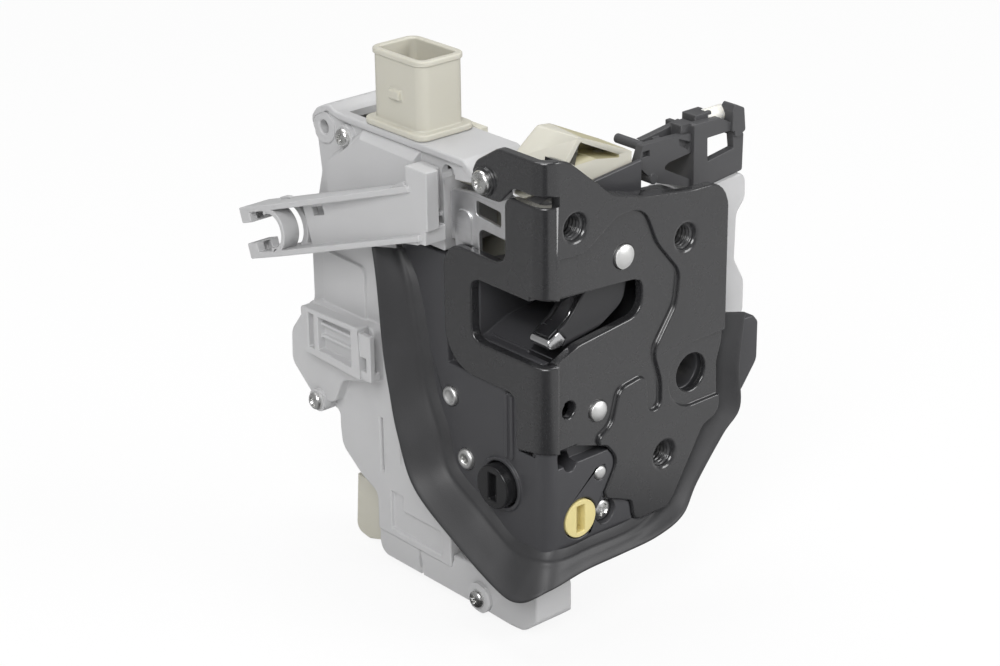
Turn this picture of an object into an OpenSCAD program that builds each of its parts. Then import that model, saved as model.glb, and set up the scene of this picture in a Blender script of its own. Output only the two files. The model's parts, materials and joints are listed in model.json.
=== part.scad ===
// Car door lock: a claw-and-pawl latch behind a formed corner plate, with its actuator housing.
// The origin is the centre of the upper left bolt hole on the front face of the latch plate.
// The plate faces -Y, its wing faces -X and +Z is up.

/* [Latch plate] */
// Thickness of the plate steel
plate_t = 3; // [2:0.1:4]
// Outer radius of the bend between the front and the wing
bend_r = 5; // [3.5:0.1:7]
// Distance from the origin out to the outer face of the wing
wing_out = 10.5; // [9.5:0.1:13]
// Distance from the origin to the right edge of the plate
plate_right = 55.2; // [52:0.1:60]
// Depth that the middle of the plate is pressed back
recess_d = 1.2; // [0.6:0.1:2]
// Length of the wing back from the front face
wing_len = 39.8; // [37:0.1:44]
// Height of the upper edge of the mouth, measured down from the origin
mouth_top = 18.8; // [17:0.1:20]
// Height of the lower edge of the mouth at the wing, measured down from the origin
mouth_low = 36.6; // [34:0.1:39]
// Reach of the mouth in the wing, back from the front face
mouth_back = 28.8; // [26:0.1:32]

/* [Bolts and rivets] */
// Radius of the wall of each threaded bolt hole
bolt_r = 3.4; // [3:0.05:4.2]
// Outer radius of the drawn collar behind each bolt hole
collar_r = 5.8; // [5:0.1:6.2]
// Depth of each drawn collar behind the plate
collar_len = 6.5; // [4:0.1:8]
// Radius of the claw rivet head
claw_head_r = 3.3; // [2.5:0.1:4]
// Radius of the shoulder that the claw turns on
claw_pin_r = 5; // [4:0.1:6]
// Radius of the pawl rivet head
pawl_head_r = 2.85; // [2:0.05:3.5]
// Radius of the shoulder that the pawl turns on
pawl_pin_r = 3.6; // [3:0.1:4.2]
// Radius of the large hole at the right of the plate
access_r = 5.35; // [4:0.05:6]

/* [Claw and pawl] */
// Thickness of the claw with its jacket
claw_w = 7.6; // [6:0.1:8]
// Thickness of the steel inside the claw jacket
claw_core_w = 5.2; // [4:0.1:5.6]
// Reach of the far jaw from the claw pivot
claw_reach = 31; // [29:0.1:31.4]
// Reach of the near jaw from the claw pivot
near_reach = 24.4; // [23.6:0.1:24.6]
// Thickness of the pawl
pawl_w = 6.4; // [5:0.1:7]
// Radius of the pawl hub
pawl_hub_r = 6.3; // [5.2:0.1:7]
// Running clearance of a pivot, on the radius
pivot_gap = 0.06; // [0.03:0.01:0.1]

/* [Housing] */
// Distance from the origin out to the face of the side cover
cover_out = 9; // [8:0.1:9.4]
// Depth of the side cover from its face to its rim
cover_depth = 18.5; // [17:0.1:22]
// Wall of the moulded covers
wall = 2; // [1.4:0.1:2.4]
// Height of the side cover's upper edge above the origin
cover_top = 12.2; // [10:0.1:14]
// Distance from the origin back to the side cover's rear edge
cover_back = 99; // [97:0.1:104]
// Depth of the lower cover's bottom below the origin
cover_low = 117.5; // [114:0.1:122]
// Height of the connector socket above the side cover
socket_h = 21; // [16:0.1:26]
// Length of the connector socket along the door
socket_l = 21; // [19:0.1:24]
// Width of the connector socket
socket_w = 15; // [13:0.1:16]
// Wall of the connector socket
socket_wall = 1.5; // [1:0.1:2]

/* [Seal] */
// Thickness of the rubber seal lip
seal_t = 1.2; // [0.8:0.1:2]
// Flare of the seal lip beyond the side of the case
seal_flare = 8.5; // [6:0.1:10]

/* [Drive] */
// Teeth on the worm wheel
wheel_teeth = 20; // [16:1:21]
// Axial pitch of the worm thread
worm_pitch = 3.6; // [3.4:0.1:3.8]
// Outer radius of the worm thread
worm_tip_r = 4.2; // [3.8:0.1:4.6]
// Root radius of the worm thread
worm_root_r = 2.7; // [2.4:0.1:3]
// Radius of the drive motor's can
motor_r = 8; // [6:0.1:8.3]
// Thickness of the drive motor's can across its flats
motor_flat = 12; // [9:0.1:14]
// Length of the drive motor's can
motor_len = 26; // [20:0.1:29]

/* [Rotaries] */
// Radius of the emergency lock rotary's face
rotary_r = 6.1; // [5:0.1:6.6]
// Distance that the emergency lock rotary stands out of the case
rotary_out = 3.8; // [2.5:0.1:5]
// Radius of the child lock rotary's face
child_r = 5.4; // [4.5:0.1:6]

/* [Cable holder] */
// Slope of the cable holder down to its fork, in degrees
arm_slope = 19; // [14:1:22]
// Length of the cable holder from its foot to its fork tips
arm_len = 72; // [66:0.5:78]
// Width of the cable holder's flanges at the fork
flange_w = 9; // [7:0.1:10.5]
// Radius of the cable seat in the fork
fork_r = 5; // [4:0.1:6]

/* [Hidden] */
$fn = 48;

// Fits
// Gap between pieces on different bodies
clear = 0.35;
// Height of each rivet head above the plate
head_h = 0.7;
// Gap between the near jaw's tip and the inside of the wing
jaw_gap = 0.9;
// Radius of a cover screw's shank, and the gap around it in its hole
screw_r = 1.4;
screw_gap = 0.06;

// Levels back from the front face of the plate
wing_x = -wing_out;
wing_in = wing_x + plate_t;
recess_back = recess_d + plate_t;
claw_y = recess_back + 0.5;
claw_back = claw_y + claw_w;
floor_y = claw_back + 0.5;
floor_t = 2.2;
back_y = floor_y + floor_t;
back_t = 2.5;
channel_y = mouth_back + wall;
bend_x = wing_x + bend_r;

// Places on the front of the plate, as [x, z]
bolt_a = [0, 0];
bolt_b = [39.4, -12.9];
bolt_c = [32.6, -73.9];
bolts = [bolt_a, bolt_b, bolt_c];
claw_at = [wing_in + jaw_gap + near_reach, -12.8];
pawl_at = claw_at - [8.9, 41];
case_rivet_at = [9.6, -72];
access_at = [43.2, -53.2];
peep_a = [-1.4, -50.4];
peep_b = [-1, -65.7];
child_at = [2.5, -83];
face_screw_at = [11.4, -83.9];

// Places on the side, as [y, z]
side_rivet_at = [38.8, -56.5];
eyelet_at = [32.9, -73.2];
rotary_at = [18.2, -75];
ear_screw_at = [22.6, 9];
wheel_at = [82.5, -38];
lever_at = [82.5, -68];
key_at = [16.5, 8.5];
key_r = 2.4;
key_flange_r = 3.2;
cover_screw_at = [80.1, 6.3];
bulge_screw_at = [93.6, -75.4];
low_screw_at = [28.6, -114];
ear_hole_at = [90.4, 6.4];
bush_at = [13.4, 12.2];
bush_r = 2.3;

// Case levels
case_x = wing_x + 1;
case_front = 0.8;
case_low = -91;
side_t = 6;
side_in = case_x + side_t;

// Housing levels
cover_x = -cover_out;
cover_rim = cover_x + cover_depth;
carrier_t = 2.4;
skirt_foot = 59;
shelf_z = 5;
panel_x = cover_x - 3;
clip_x = cover_x - 3.4;
arm_x = cover_x - 8.4;

// Drive levels
drive_x = 0.5;
wheel_t = 3;
mesh_gap = 0.3;
crank_r = 7;
crank_pin_r = 1.4;
crank_swing = 90;
lever_x = drive_x + wheel_t / 2 + 0.4;
lever_t = 2.4;
lever_swing = 22.4;
wheel_pitch_r = wheel_teeth * worm_pitch / (2 * PI);
worm_y = wheel_at[0] - wheel_pitch_r - (worm_tip_r + worm_root_r) / 2 - mesh_gap;
worm_len = 14;
worm_phase = 290;
motor_top = wheel_at[1] - worm_len / 2 - 5.4;

// Turn of the pawl between its release and its catch
pawl_swing = 51.8;

// Points around a corner b, rounded with its own third value as radius
function unit2(v) = v / norm(v);
function arc_points(a, b, c) =
    let (p = [b[0], b[1]], r = b[2])
    r <= 0 ? [p] :
    let (
        ends = [[a[0], a[1]] - p, [c[0], c[1]] - p],
        u = unit2(ends[0]),
        v = unit2(ends[1]),
        half = acos(max(-1, min(1, u * v))) / 2
    )
    half > 89 ? [p] :
    let (
        t = min(r / tan(half), norm(ends[0]) / 2, norm(ends[1]) / 2),
        mid = p + unit2(u + v) * t / cos(half),
        from = p + u * t - mid,
        to = p + v * t - mid,
        a0 = atan2(from[1], from[0]),
        turn = (atan2(to[1], to[0]) - a0 + 540) % 360 - 180,
        steps = max(2, ceil(abs(turn) / 15))
    )
    [for (i = [0:steps]) mid + norm(from) * [cos(a0 + turn * i / steps), sin(a0 + turn * i / steps)]];
function rounded(pts) =
    let (n = len(pts))
    [for (i = [0:n - 1]) each arc_points(pts[(i + n - 1) % n], pts[i], pts[(i + 1) % n])];

// A point at radius r and angle a from c
function polar(c, r, a) = [c[0] + r * cos(a), c[1] + r * sin(a)];

// A front outline in X and Z, carried back from y0 to y1
module from_front(y0, y1) {
    translate([0, y1, 0]) rotate([90, 0, 0]) linear_extrude(y1 - y0) children();
}

// A side outline in Y and Z, carried across from x0 to x1
module from_side(x0, x1) {
    translate([x0, 0, 0]) rotate([90, 0, 90]) linear_extrude(x1 - x0) children();
}

// A round bar along Y at [x, z]
module bar_y(at, r, y0, y1) {
    translate([at[0], y1, at[1]]) rotate([90, 0, 0]) cylinder(r = r, h = y1 - y0);
}

// A round bar along X at [y, z]
module bar_x(at, r, x0, x1) {
    translate([x0, at[0], at[1]]) rotate([0, 90, 0]) cylinder(r = r, h = x1 - x0);
}

// A block between two opposite corners
module block(lo, hi) {
    translate(lo) cube(hi - lo);
}

// Outline of the front of the plate
module plate_outline() {
    polygon(rounded([
        [bend_x, 18.9, 0], [-2.2, 18, 6], [13, 5.4, 12], [24, 2.4, 20], [41, -0.2, 14],
        [plate_right, -0.8, 13], [plate_right, -47, 8], [plate_right - 2, -53, 6],
        [plate_right - 1.4, -67.8, 4], [47.4, -70.2, 3], [35, -90.4, 5], [21.6, -90.4, 3],
        [20.4, -83.8, 2], [10, -79.6, 2], [15.6, -69.8, 5], [11.4, -64.6, 3],
        [1, -61.2, 8], [bend_x, -61.2, 0]
    ]));
}

// Area of the front that is pressed back
module recess_outline() {
    polygon(rounded([
        [bend_x, -7.6, 0], [3.5, -7.8, 8], [14.5, -0.6, 7], [24, -0.6, 7], [29, -12, 14],
        [37.5, -22, 6], [36.4, -31, 8], [28.2, -42.5, 6], [31.2, -52, 10], [31.2, -59.6, 2.3],
        [26.4, -59.6, 2.3], [26, -48, 3], [16, -49.5, 4], [13.4, -59, 6], [8.7, -61.4, 2],
        [8.7, -66, 0], [bend_x, -66, 0]
    ]));
}

// Recess that opens to the right edge around the large hole
module access_outline() {
    translate(access_at) circle(r = access_r + 3.9);
    translate([access_at[0], access_at[1] - access_r - 3.9]) square([20, 2 * access_r + 7.8]);
}

// Mouth in the front of the plate
module mouth_outline() {
    polygon(rounded([
        [wing_x - 1, 1 - mouth_top, 0], [2, -mouth_top, 8], [24.8, -mouth_top - 1.6, 4],
        [24.8, -30.6, 5], [2, -33.2, 10], [-6, -mouth_low, 4], [wing_x - 1, -mouth_low, 0]
    ]));
}

// Outline of the wing in Y and Z
module wing_outline() {
    polygon(rounded([
        [bend_r, -61.2, 0], [11.7, -62.6, 1.5], [11.7, -47, 3], [wing_len, -47, 11],
        [wing_len, -11.8, 7], [15.3, -11.8, 4], [15.3, 7, 3], [bend_r, 7, 0]
    ]));
    polygon(rounded([
        [bend_r, 9.8, 0], [12, 9.8, 3], [17, 4.6, 3], [27, 4.6, 4.2], [27, 13.2, 4],
        [17.9, 18.9, 4], [bend_r, 18.9, 0]
    ]));
}

// Mouth in the wing in Y and Z
module wing_mouth_outline() {
    polygon(rounded([
        [-1, -mouth_top - 0.3, 0], [mouth_back, -mouth_top - 0.3, 3.4],
        [mouth_back, -mouth_low, 3.4], [-1, -mouth_low, 0]
    ]));
}

module latch_plate() {
    color([0.07, 0.07, 0.075]) difference() {
        union() {
            difference() {
                from_front(0, plate_t) plate_outline();
                from_front(-1, recess_d) recess_outline();
                from_front(-1, 1) access_outline();
            }
            from_front(recess_d, recess_back) intersection() {
                plate_outline();
                recess_outline();
            }
            from_front(plate_t - 0.5, plate_t + 2.4) difference() {
                intersection() {
                    plate_outline();
                    translate([bend_x, -10]) square([40, 40]);
                }
                translate([0, -2.2]) plate_outline();
            }
            from_side(wing_x, wing_in) wing_outline();
            bend_column(-61.2, 7);
            bend_column(9.8, 18.9);
            for (b = bolts) bar_y(b, collar_r, plate_t - 0.5, plate_t + collar_len);
            bar_x(ear_screw_at, 3.9, wing_x - 0.9, wing_in);
        }
        for (b = bolts) bar_y(b, bolt_r, -2, plate_t + collar_len + 1);
        from_front(-1, bend_r + 1) mouth_outline();
        from_side(wing_x - 1, bend_x) wing_mouth_outline();
        bar_y(claw_at, claw_head_r, -1, recess_back + 1);
        bar_y(pawl_at, pawl_head_r, -1, recess_back + 1);
        bar_y(access_at, access_r, -1, recess_back + 1);
        bar_y(peep_a, 2.35, -1, recess_back + 1);
        bar_x(ear_screw_at, 2, wing_x - 2, wing_in + 1);
    }
}

// The rounded corner between the front and the wing, from z0 to z1
module bend_column(z0, z1) {
    translate([0, 0, z0]) intersection() {
        translate([bend_x, bend_r, 0]) difference() {
            cylinder(r = bend_r, h = z1 - z0);
            translate([0, 0, -1]) cylinder(r = bend_r - plate_t, h = z1 - z0 + 2);
        }
        translate([wing_x - 1, -1, -1]) cube([bend_r + 1, bend_r + 1, z1 - z0 + 2]);
    }
}

// Outline of the case behind the plate
module case_outline() {
    polygon(rounded([
        [wing_in, shelf_z - 0.6, 0], [5, shelf_z, 3], [14, 1.5, 8], [26, -1.5, 10], [50, -3.5, 9],
        [52, -64, 6], [34, -88, 4], [30, case_low, 3], [wing_in, case_low, 0]
    ]));
}

// Outline of the side wall of the case in Y and Z, bounded by the seal
module case_side_outline() {
    polygon(rounded([
        [bend_r, case_low, 0], [13, case_low, 4], [38, -77, 4], [41.5, -67, 6], [46.2, -56.5, 10],
        [49, -42.5, 10], [52.8, -27, 10], [skirt_foot, -17.6, 2], [skirt_foot - 1, -16.2, 0],
        [bend_r, -16.2, 0]
    ]));
}

// Room that the claw sweeps
module claw_room() {
    polygon(concat(
        [for (a = [204:6:318]) polar(claw_at, claw_reach + 0.9, a)],
        [for (a = [322:8:362]) polar(claw_at, 22, a)],
        [for (a = [8:20:150]) polar(claw_at, 14.5, a)],
        [for (a = [176:7:204]) polar(claw_at, near_reach + 0.9, a)]
    ));
}

// Room that the pawl sweeps
module pawl_room() {
    polygon(concat(
        [pawl_at],
        [for (a = [56:8:176]) polar(pawl_at, a > 65 && a < 169 ? 22.2 : 9.4, a)]
    ));
    translate(pawl_at) circle(r = pawl_hub_r + 0.8);
    polygon(concat(
        [pawl_at],
        [for (a = [-72:8:56]) polar(pawl_at, a > -60 && a < 50 ? 16.2 : 9.4, a)]
    ));
}

module lock_case() {
    color([0.06, 0.06, 0.065]) difference() {
        union() {
            from_front(recess_back, back_y) case_outline();
            from_front(case_front, recess_back) difference() {
                intersection() {
                    case_outline();
                    translate([bend_x, case_low]) square([60, 32]);
                }
                plate_outline();
                translate([bend_x - 1, -66]) square([14.2 - bend_x + 1, 8]);
            }
            from_front(recess_back - 1.1, recess_back) difference() {
                intersection() {
                    case_outline();
                    translate([bend_x, case_low]) square([60, 100]);
                }
                recess_outline();
                access_outline();
                translate([bend_x - 1, -66]) square([14.2 - bend_x + 1, 8]);
            }
            from_side(wing_in, side_in) case_side_outline();
            from_side(case_x, wing_in) difference() {
                case_side_outline();
                translate([bend_r - 1, -63]) square([7.6, 18]);
                translate([0, -47]) square([wing_len, 40]);
                wing_outline();
            }
            case_corner();
            channel_walls();
            bar_y(child_at, child_r + 2, case_front, back_y);
            bar_x(rotary_at, rotary_r + 1.6, case_x - 0.8, side_in + 2);
            side_rib(13.5);
            side_rib(15.6);
            from_front(8.2, 9.5) polygon([[14, -1], [14, 6.9], [31, 8.6], [31, -4]]);
            from_front(8.4, 12) polygon(rounded([
                [48, -52, 0], [72, -48, 0], [75.4, -48.2, 1], [77.2, -50.4, 1.5], [77.2, -62, 4],
                [71, -70, 2], [48, -68, 0]
            ]));
        }
        from_front(claw_y - 0.5, floor_y) intersection() {
            union() {
                claw_room();
                pawl_room();
            }
            translate([wing_in, -90]) square([60, 100]);
        }
        from_front(recess_d, mouth_back) mouth_outline();
        from_side(wing_x - 1, wing_in + 3) wing_mouth_outline();
        bar_y(bolt_a, collar_r + 0.2, -1, plate_t + collar_len + 0.6);
        for (b = [bolt_b, bolt_c]) bar_y(b, collar_r + 0.2, -1, back_y + 1);
        bar_y(claw_at, claw_pin_r, -1, 40);
        bar_y(pawl_at, pawl_pin_r, -1, 40);
        bar_y(claw_at, 8.4, floor_y - 1, back_y + 1);
        bar_y(pawl_at, 6.6, floor_y - 1, back_y + 1);
        bar_y(access_at, access_r, -1, 40);
        bar_y(peep_a, 2.35, -1, floor_y);
        bar_y(peep_b, 2.25, -1, 8);
        bar_y(case_rivet_at, 2, -1, 40);
        bar_y(child_at, child_r + clear, -1, 6);
        bar_y(child_at, 3, -1, 40);
        bar_y(face_screw_at, 3.6, -1, 3.2);
        bar_y(face_screw_at, 1.5, -1, 12);
        bar_x(side_rivet_at, 2.75, -20, 20);
        bar_x(eyelet_at, 2.98, -20, 20);
        bar_x(rotary_at, rotary_r - 1.4, -20, 20);
        bar_x(rotary_at, rotary_r + clear, -20, case_x + 1.6);
        from_front(back_y, back_y + back_t) back_outline();
        block([wing_in - 1, 10.3, -15.7], [wing_in + 1.25, 31, 8]);
        block([wing_in - 1, plate_t, -61.2], [wing_in + 0.3, bend_r, 8]);
    }
}

// A raised rib on the side wall above the emergency rotary
module side_rib(y) {
    block([case_x - 0.6, y, -66.4], [case_x + 1, y + 1.1, -48]);
}

// Lower corner of the case under the plate's bend
module case_corner() {
    r = bend_x - case_x;
    translate([0, 0, case_low]) intersection() {
        union() {
            translate([bend_x, case_front + r, 0]) cylinder(r = r, h = -61.2 - case_low);
            translate([bend_x - 2, case_front + r, 0]) cube([2, bend_r, -61.2 - case_low]);
        }
        translate([case_x - 1, 0, -1]) cube([r + 1, bend_r + r, 60]);
    }
    block([case_x, case_front + r, case_low], [bend_x, bend_r, -61.2]);
    block([bend_x - 0.2, recess_back, case_low], [bend_x + 2, back_y, -61.2]);
}

// Walls around the striker's way behind the claw
module channel_walls() {
    from_front(back_y - 0.5, channel_y) intersection() {
        polygon(rounded([
            [wing_in, wall - mouth_top + 1.4, 0], [4, wall - mouth_top, 6],
            [24.8 + wall, wall - mouth_top - 1.6, 4], [24.8 + wall, -30.6 - wall, 5],
            [2, -33.2 - wall, 10], [-5, -mouth_low - wall, 4], [wing_in, -mouth_low - wall, 0]
        ]));
        translate([wing_in, -60]) square([60, 60]);
    }
}

// Outline of the steel plate behind the claw, open at the mouth
module back_outline() {
    difference() {
        polygon(rounded([
            [6, -1.5, 6], [30, -1.5, 8], [33, -30, 8], [27, -48, 8], [20, -64, 6],
            [0, -64, 6], [-2.6, -44, 5], [-2.6, -39.4, 0], [2, -36, 6], [24.8 + wall, -33.4, 6],
            [24.8 + wall + 0.1, -mouth_top + 1, 3], [6, -mouth_top + 2.6, 4]
        ]));
        children();
    }
}

module back_plate() {
    color([0.55, 0.56, 0.57]) difference() {
        from_front(back_y, back_y + back_t) back_outline();
        bar_y(claw_at, claw_pin_r - 1, 0, 40);
        bar_y(pawl_at, pawl_pin_r - 1, 0, 40);
    }
}

// A riveted pivot pin: head in the plate, shoulder under the moving piece, tail in the back plate
module pivot_rivet(at, head_r, pin_r) {
    bar_y(at, head_r, 0.6, recess_back);
    translate([at[0], 0.6, at[1]]) intersection() {
        scale(1) translate([0, head_r * 2.2 - head_h, 0]) sphere(r = head_r * 2.2, $fn = 48);
        rotate([90, 0, 0]) cylinder(r = head_r, h = head_h + 1);
    }
    bar_y(at, pin_r, recess_back, back_y);
    bar_y(at, pin_r - 1, back_y, back_y + back_t + 3.4);
}

module claw_rivet() {
    color([0.78, 0.78, 0.78]) pivot_rivet(claw_at, claw_head_r, claw_pin_r);
}

module pawl_rivet() {
    color([0.78, 0.78, 0.78]) pivot_rivet(pawl_at, pawl_head_r, pawl_pin_r);
}

module case_rivet() {
    color([0.8, 0.8, 0.8]) {
        bar_y(case_rivet_at, 2, case_front - 0.4, 14);
    }
}

module side_rivet() {
    color([0.78, 0.78, 0.78]) {
        bar_x(side_rivet_at, 2.75, case_x - 0.9, side_in + 3);
    }
}

module side_eyelet() {
    color([0.8, 0.8, 0.8]) difference() {
        union() {
            bar_x(eyelet_at, 2.98, case_x - 0.9, side_in + 3);
        }
        bar_x(eyelet_at, 1.25, -20, 20);
    }
}

module striker_buffer() {
    color([0.12, 0.12, 0.12]) difference() {
        from_front(back_y + 1, mouth_back - 1) intersection() {
            mouth_outline();
            translate([20.6, -29]) square([6, 7.4]);
        }
        bar_y([21.4, -25.3], 2.4, 0, 60);
    }
}

// Outline of the claw: hub, near jaw and far jaw about its pivot, rest pose with the mouth open
module claw_outline(grow = 0) {
    translate(claw_at) circle(r = 9.5 + grow);
    polygon(rounded([
        concat(polar(claw_at, 8, 130), 0), concat(polar(claw_at, 10 + grow, 160), 3),
        concat(polar(claw_at, near_reach - 0.8 + grow, 183.4), 1),
        concat(polar(claw_at, near_reach + grow, 188.5), 1.4),
        concat(polar(claw_at, near_reach - 0.8 + grow, 193.6), 1.2),
        concat(polar(claw_at, 11, 201), 2.6),
        concat(polar(claw_at, 12.6, 217), 2), concat(polar(claw_at, 21.6, 222.6), 12),
        concat(polar(claw_at, claw_reach - 0.6 + grow, 218.6), 2.4),
        concat(polar(claw_at, claw_reach + grow, 225), 3),
        concat(polar(claw_at, 25 + grow, 236), 5), concat(polar(claw_at, 20 + grow, 256), 8),
        concat(polar(claw_at, 15 + grow, 284), 6), concat(polar(claw_at, 8, 310), 0)
    ]));
}

// End of the far jaw that is left bare
module claw_tip_zone() {
    polygon([
        polar(claw_at, claw_reach - 5.4, 208), polar(claw_at, claw_reach + 4, 208),
        polar(claw_at, claw_reach + 6, 232), polar(claw_at, claw_reach - 5.4, 229)
    ]);
}

module claw_core() {
    core_y = claw_y + (claw_w - claw_core_w) / 2;
    color([0.72, 0.73, 0.74]) difference() {
        union() {
            from_front(core_y, core_y + claw_core_w) claw_outline(-0.9);
            from_front(claw_y, claw_back) intersection() {
                claw_outline();
                claw_tip_zone();
            }
        }
        bar_y(claw_at, claw_pin_r + pivot_gap, 0, 40);
    }
}

module claw_jacket() {
    core_y = claw_y + (claw_w - claw_core_w) / 2;
    color([0.16, 0.16, 0.17]) difference() {
        from_front(claw_y, claw_back) difference() {
            claw_outline();
            claw_tip_zone();
        }
        from_front(core_y, core_y + claw_core_w) claw_outline(-0.9);
        bar_y(claw_at, claw_pin_r + pivot_gap, 0, 40);
    }
}

// Outline of the pawl in its catching pose: hub, nose and release tail
module pawl_outline() {
    nose = polar(claw_at, 25.5, 248);
    translate(pawl_at) circle(r = pawl_hub_r);
    hull() {
        translate(nose) circle(r = 1.8, $fn = 32);
        translate(pawl_at + [0, 3]) circle(r = 3.2, $fn = 32);
    }
    hull() {
        translate(pawl_at) circle(r = 4, $fn = 32);
        translate(polar(pawl_at, 13, -32)) circle(r = 2.4, $fn = 32);
    }
}

module pawl() {
    pawl_y = claw_y + (claw_w - pawl_w) / 2;
    color([0.6, 0.61, 0.62]) difference() {
        from_front(pawl_y, pawl_y + pawl_w)
            translate(pawl_at) rotate(pawl_swing) translate(-pawl_at) pawl_outline();
        bar_y(pawl_at, pawl_pin_r + pivot_gap, 0, 40);
    }
}

// A flat coil of turns of round wire about a pin along Y
module coil(at, r, wire, y0, turns) {
    for (i = [0:turns - 1])
        translate([at[0], y0 + wire * (0.5 + i), at[1]]) rotate([90, 0, 0])
            rotate_extrude($fn = 48) translate([r, 0]) circle(r = wire / 2, $fn = 16);
}

module claw_spring() {
    color([0.5, 0.5, 0.5]) coil(claw_at, claw_pin_r + 1.5, 1, floor_y + 0.1, 2);
}

module pawl_spring() {
    color([0.5, 0.5, 0.5]) coil(pawl_at, pawl_pin_r + 1.3, 0.9, floor_y + 0.2, 2);
}

// The seal lip: pairs of points along its foot on the case and along its free edge
seal_foot = [
    [case_x, 58, -20], [case_x, 52.9, -27.6], [case_x, 49.1, -42.6], [case_x, 46.4, -56.6],
    [case_x, 41.6, -67.2], [case_x, 37.6, -78], [case_x, 26, -84.6], [case_x, 14, -91.2],
    [case_x + 0.4, 4.5, -91.2], [bend_x, case_front, -91.2], [5, case_front, -91.2],
    [18, case_front, -91.3], [29, 3.4, -91.5], [35.6, 5.8, -89], [41.2, 6.4, -80.6], [47.2, 6.4, -72],
    [52.4, 6.4, -64], [52.8, 6.4, -52], [52.6, 6.4, -40]
];
seal_edge = [
    [0, 60.6, -18], [0, 58.8, -27.6], [0, 56.8, -46.6], [0, 54.6, -58], [0, 51.6, -69.4],
    [0, 45, -83.6], [0, 29, -93.4], [0, 11.6, -101.2], [1, 3, -102.2], [6, -2, -98.6],
    [18, -2, -97.2], [32, -2, -97], [46, -2, -96.8], [57, -1, -94.4], [63.5, 0, -86.6],
    [73, 0, -75.4], [80, 0.4, -69], [79.4, 0.4, -56], [81, 0.4, -41]
];
function spline(p, t) =
    let (
        n = len(p),
        i = min(n - 2, floor(t)),
        f = t - i,
        a = p[max(0, i - 1)],
        b = p[i],
        c = p[i + 1],
        d = p[min(n - 1, i + 2)]
    )
    0.5 * ((2 * b) + (c - a) * f + (2 * a - 5 * b + 4 * c - d) * f * f
        + (3 * b - a - 3 * c + d) * f * f * f);
function edge_point(t) =
    let (e = spline(seal_edge, t)) [case_x - seal_flare + e[0], e[1], e[2]];

module seal_skirt() {
    steps = 3;
    last = (len(seal_foot) - 1) * steps;
    rings = [for (k = [0:last])
        let (
            t = k / steps,
            foot = spline(seal_foot, t),
            edge = edge_point(t),
            next = spline(seal_foot, min(t + 0.1, len(seal_foot) - 1)),
            prev = spline(seal_foot, max(t - 0.1, 0)),
            across = cross(edge - foot, next - prev),
            lift = across / norm(across) * seal_t
        )
        [foot, edge, edge + lift, foot + lift]
    ];
    faces = concat(
        [[0, 1, 2, 3]],
        [for (k = [0:last - 1], j = [0:3])
            [4 * k + j, 4 * k + 4 + j, 4 * k + 4 + (j + 1) % 4]],
        [for (k = [0:last - 1], j = [0:3])
            [4 * k + j, 4 * k + 4 + (j + 1) % 4, 4 * k + (j + 1) % 4]],
        [[4 * last + 3, 4 * last + 2, 4 * last + 1, 4 * last]]
    );
    color([0.10, 0.10, 0.105])
        polyhedron(points = [for (r = rings) each r], faces = faces, convexity = 6);
}

// Silver support bracket behind the wing
module support_bracket() {
    x0 = wing_in;
    color([0.78, 0.78, 0.79]) difference() {
        union() {
            from_side(x0, x0 + 1.2) polygon(rounded([
                [39.8, 1.8, 1.5], [20.4, 4.6, 2], [18.6, 7.4, 1], [10.4, 5.6, 1], [10.4, -15, 0],
                [38, -15, 2]
            ]));
            from_side(x0 - 0.5, x0) difference() {
                polygon(rounded([
                    [36.8, -2.6, 2.2], [31.2, -2.6, 2.2], [31.2, -11.6, 0], [36.8, -11.6, 0]
                ]));
                wing_outline();
            }
            block([x0, 38.4, -12], [x0 + 5, 39.8, 1.2]);
        }
        from_side(x0 - 2, x0 + 2) polygon(rounded([
            [29.6, 1.2, 0.8], [20, 0.4, 0.8], [20, -3.8, 0.8], [29.6, -2.8, 0.8]
        ]));
        from_side(x0 - 2, x0 + 2) polygon(rounded([
            [28.6, -6.2, 2], [16.6, -6.8, 0.8], [16.6, -14.2, 0.8], [28.6, -14, 2]
        ]));
    }
}

// Outline of the side cover in Y and Z
module cover_outline() {
    polygon(rounded([
        [26.5, cover_top - 3.4, 1], [32, cover_top, 2], [84.6, cover_top, 4], [88, cover_top + 1.6, 3],
        [95.6, cover_top - 2, 4.6], [94, 3.4, 3], [92.6, -7, 3], [cover_back, -30, 8],
        [cover_back, -47, 5], [cover_back + 7.6, -57, 6], [cover_back + 8.2, -68, 4],
        [cover_back - 3, -76.6, 4], [88.8, -78.4, 2], [88.8, -89, 5], [80, -95.6, 4], [73, -98.6, 3],
        [73, -110, 0], [41, -110, 0], [41, -80.6, 0], [47.6, -62, 0], [61.5, -18.6, 0], [61.5, -15.6, 0],
        [40.6, -15.6, 0], [40.6, 5, 0], [28.4, 6.4, 1]
    ]));
}

// Raised field on the side cover under the cable holder
module cover_field_outline() {
    polygon(rounded([
        [74.4, -30.2, 2.5], [92.8, -29.6, 1.5], [93.2, -48, 0], [74.4, -48, 0]
    ]));
}

// Broad raised panel behind the cable holder, tapered to the face of the cover
module cover_panel() {
    hull() {
        from_side(cover_x - 0.1, cover_x + 0.5) polygon([
            [88.2, -15], [88.4, -1.6], [84.6, 1.2], [73, 10.2], [49.2, 10.2], [49.2, -15]
        ]);
        from_side(panel_x, panel_x + 0.1) polygon(rounded([
            [86.4, -13.4, 3], [86.6, -2.4, 2.5], [72.4, 8, 3], [49.2, 8, 0], [49.2, -13.4, 0]
        ]));
    }
}

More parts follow.
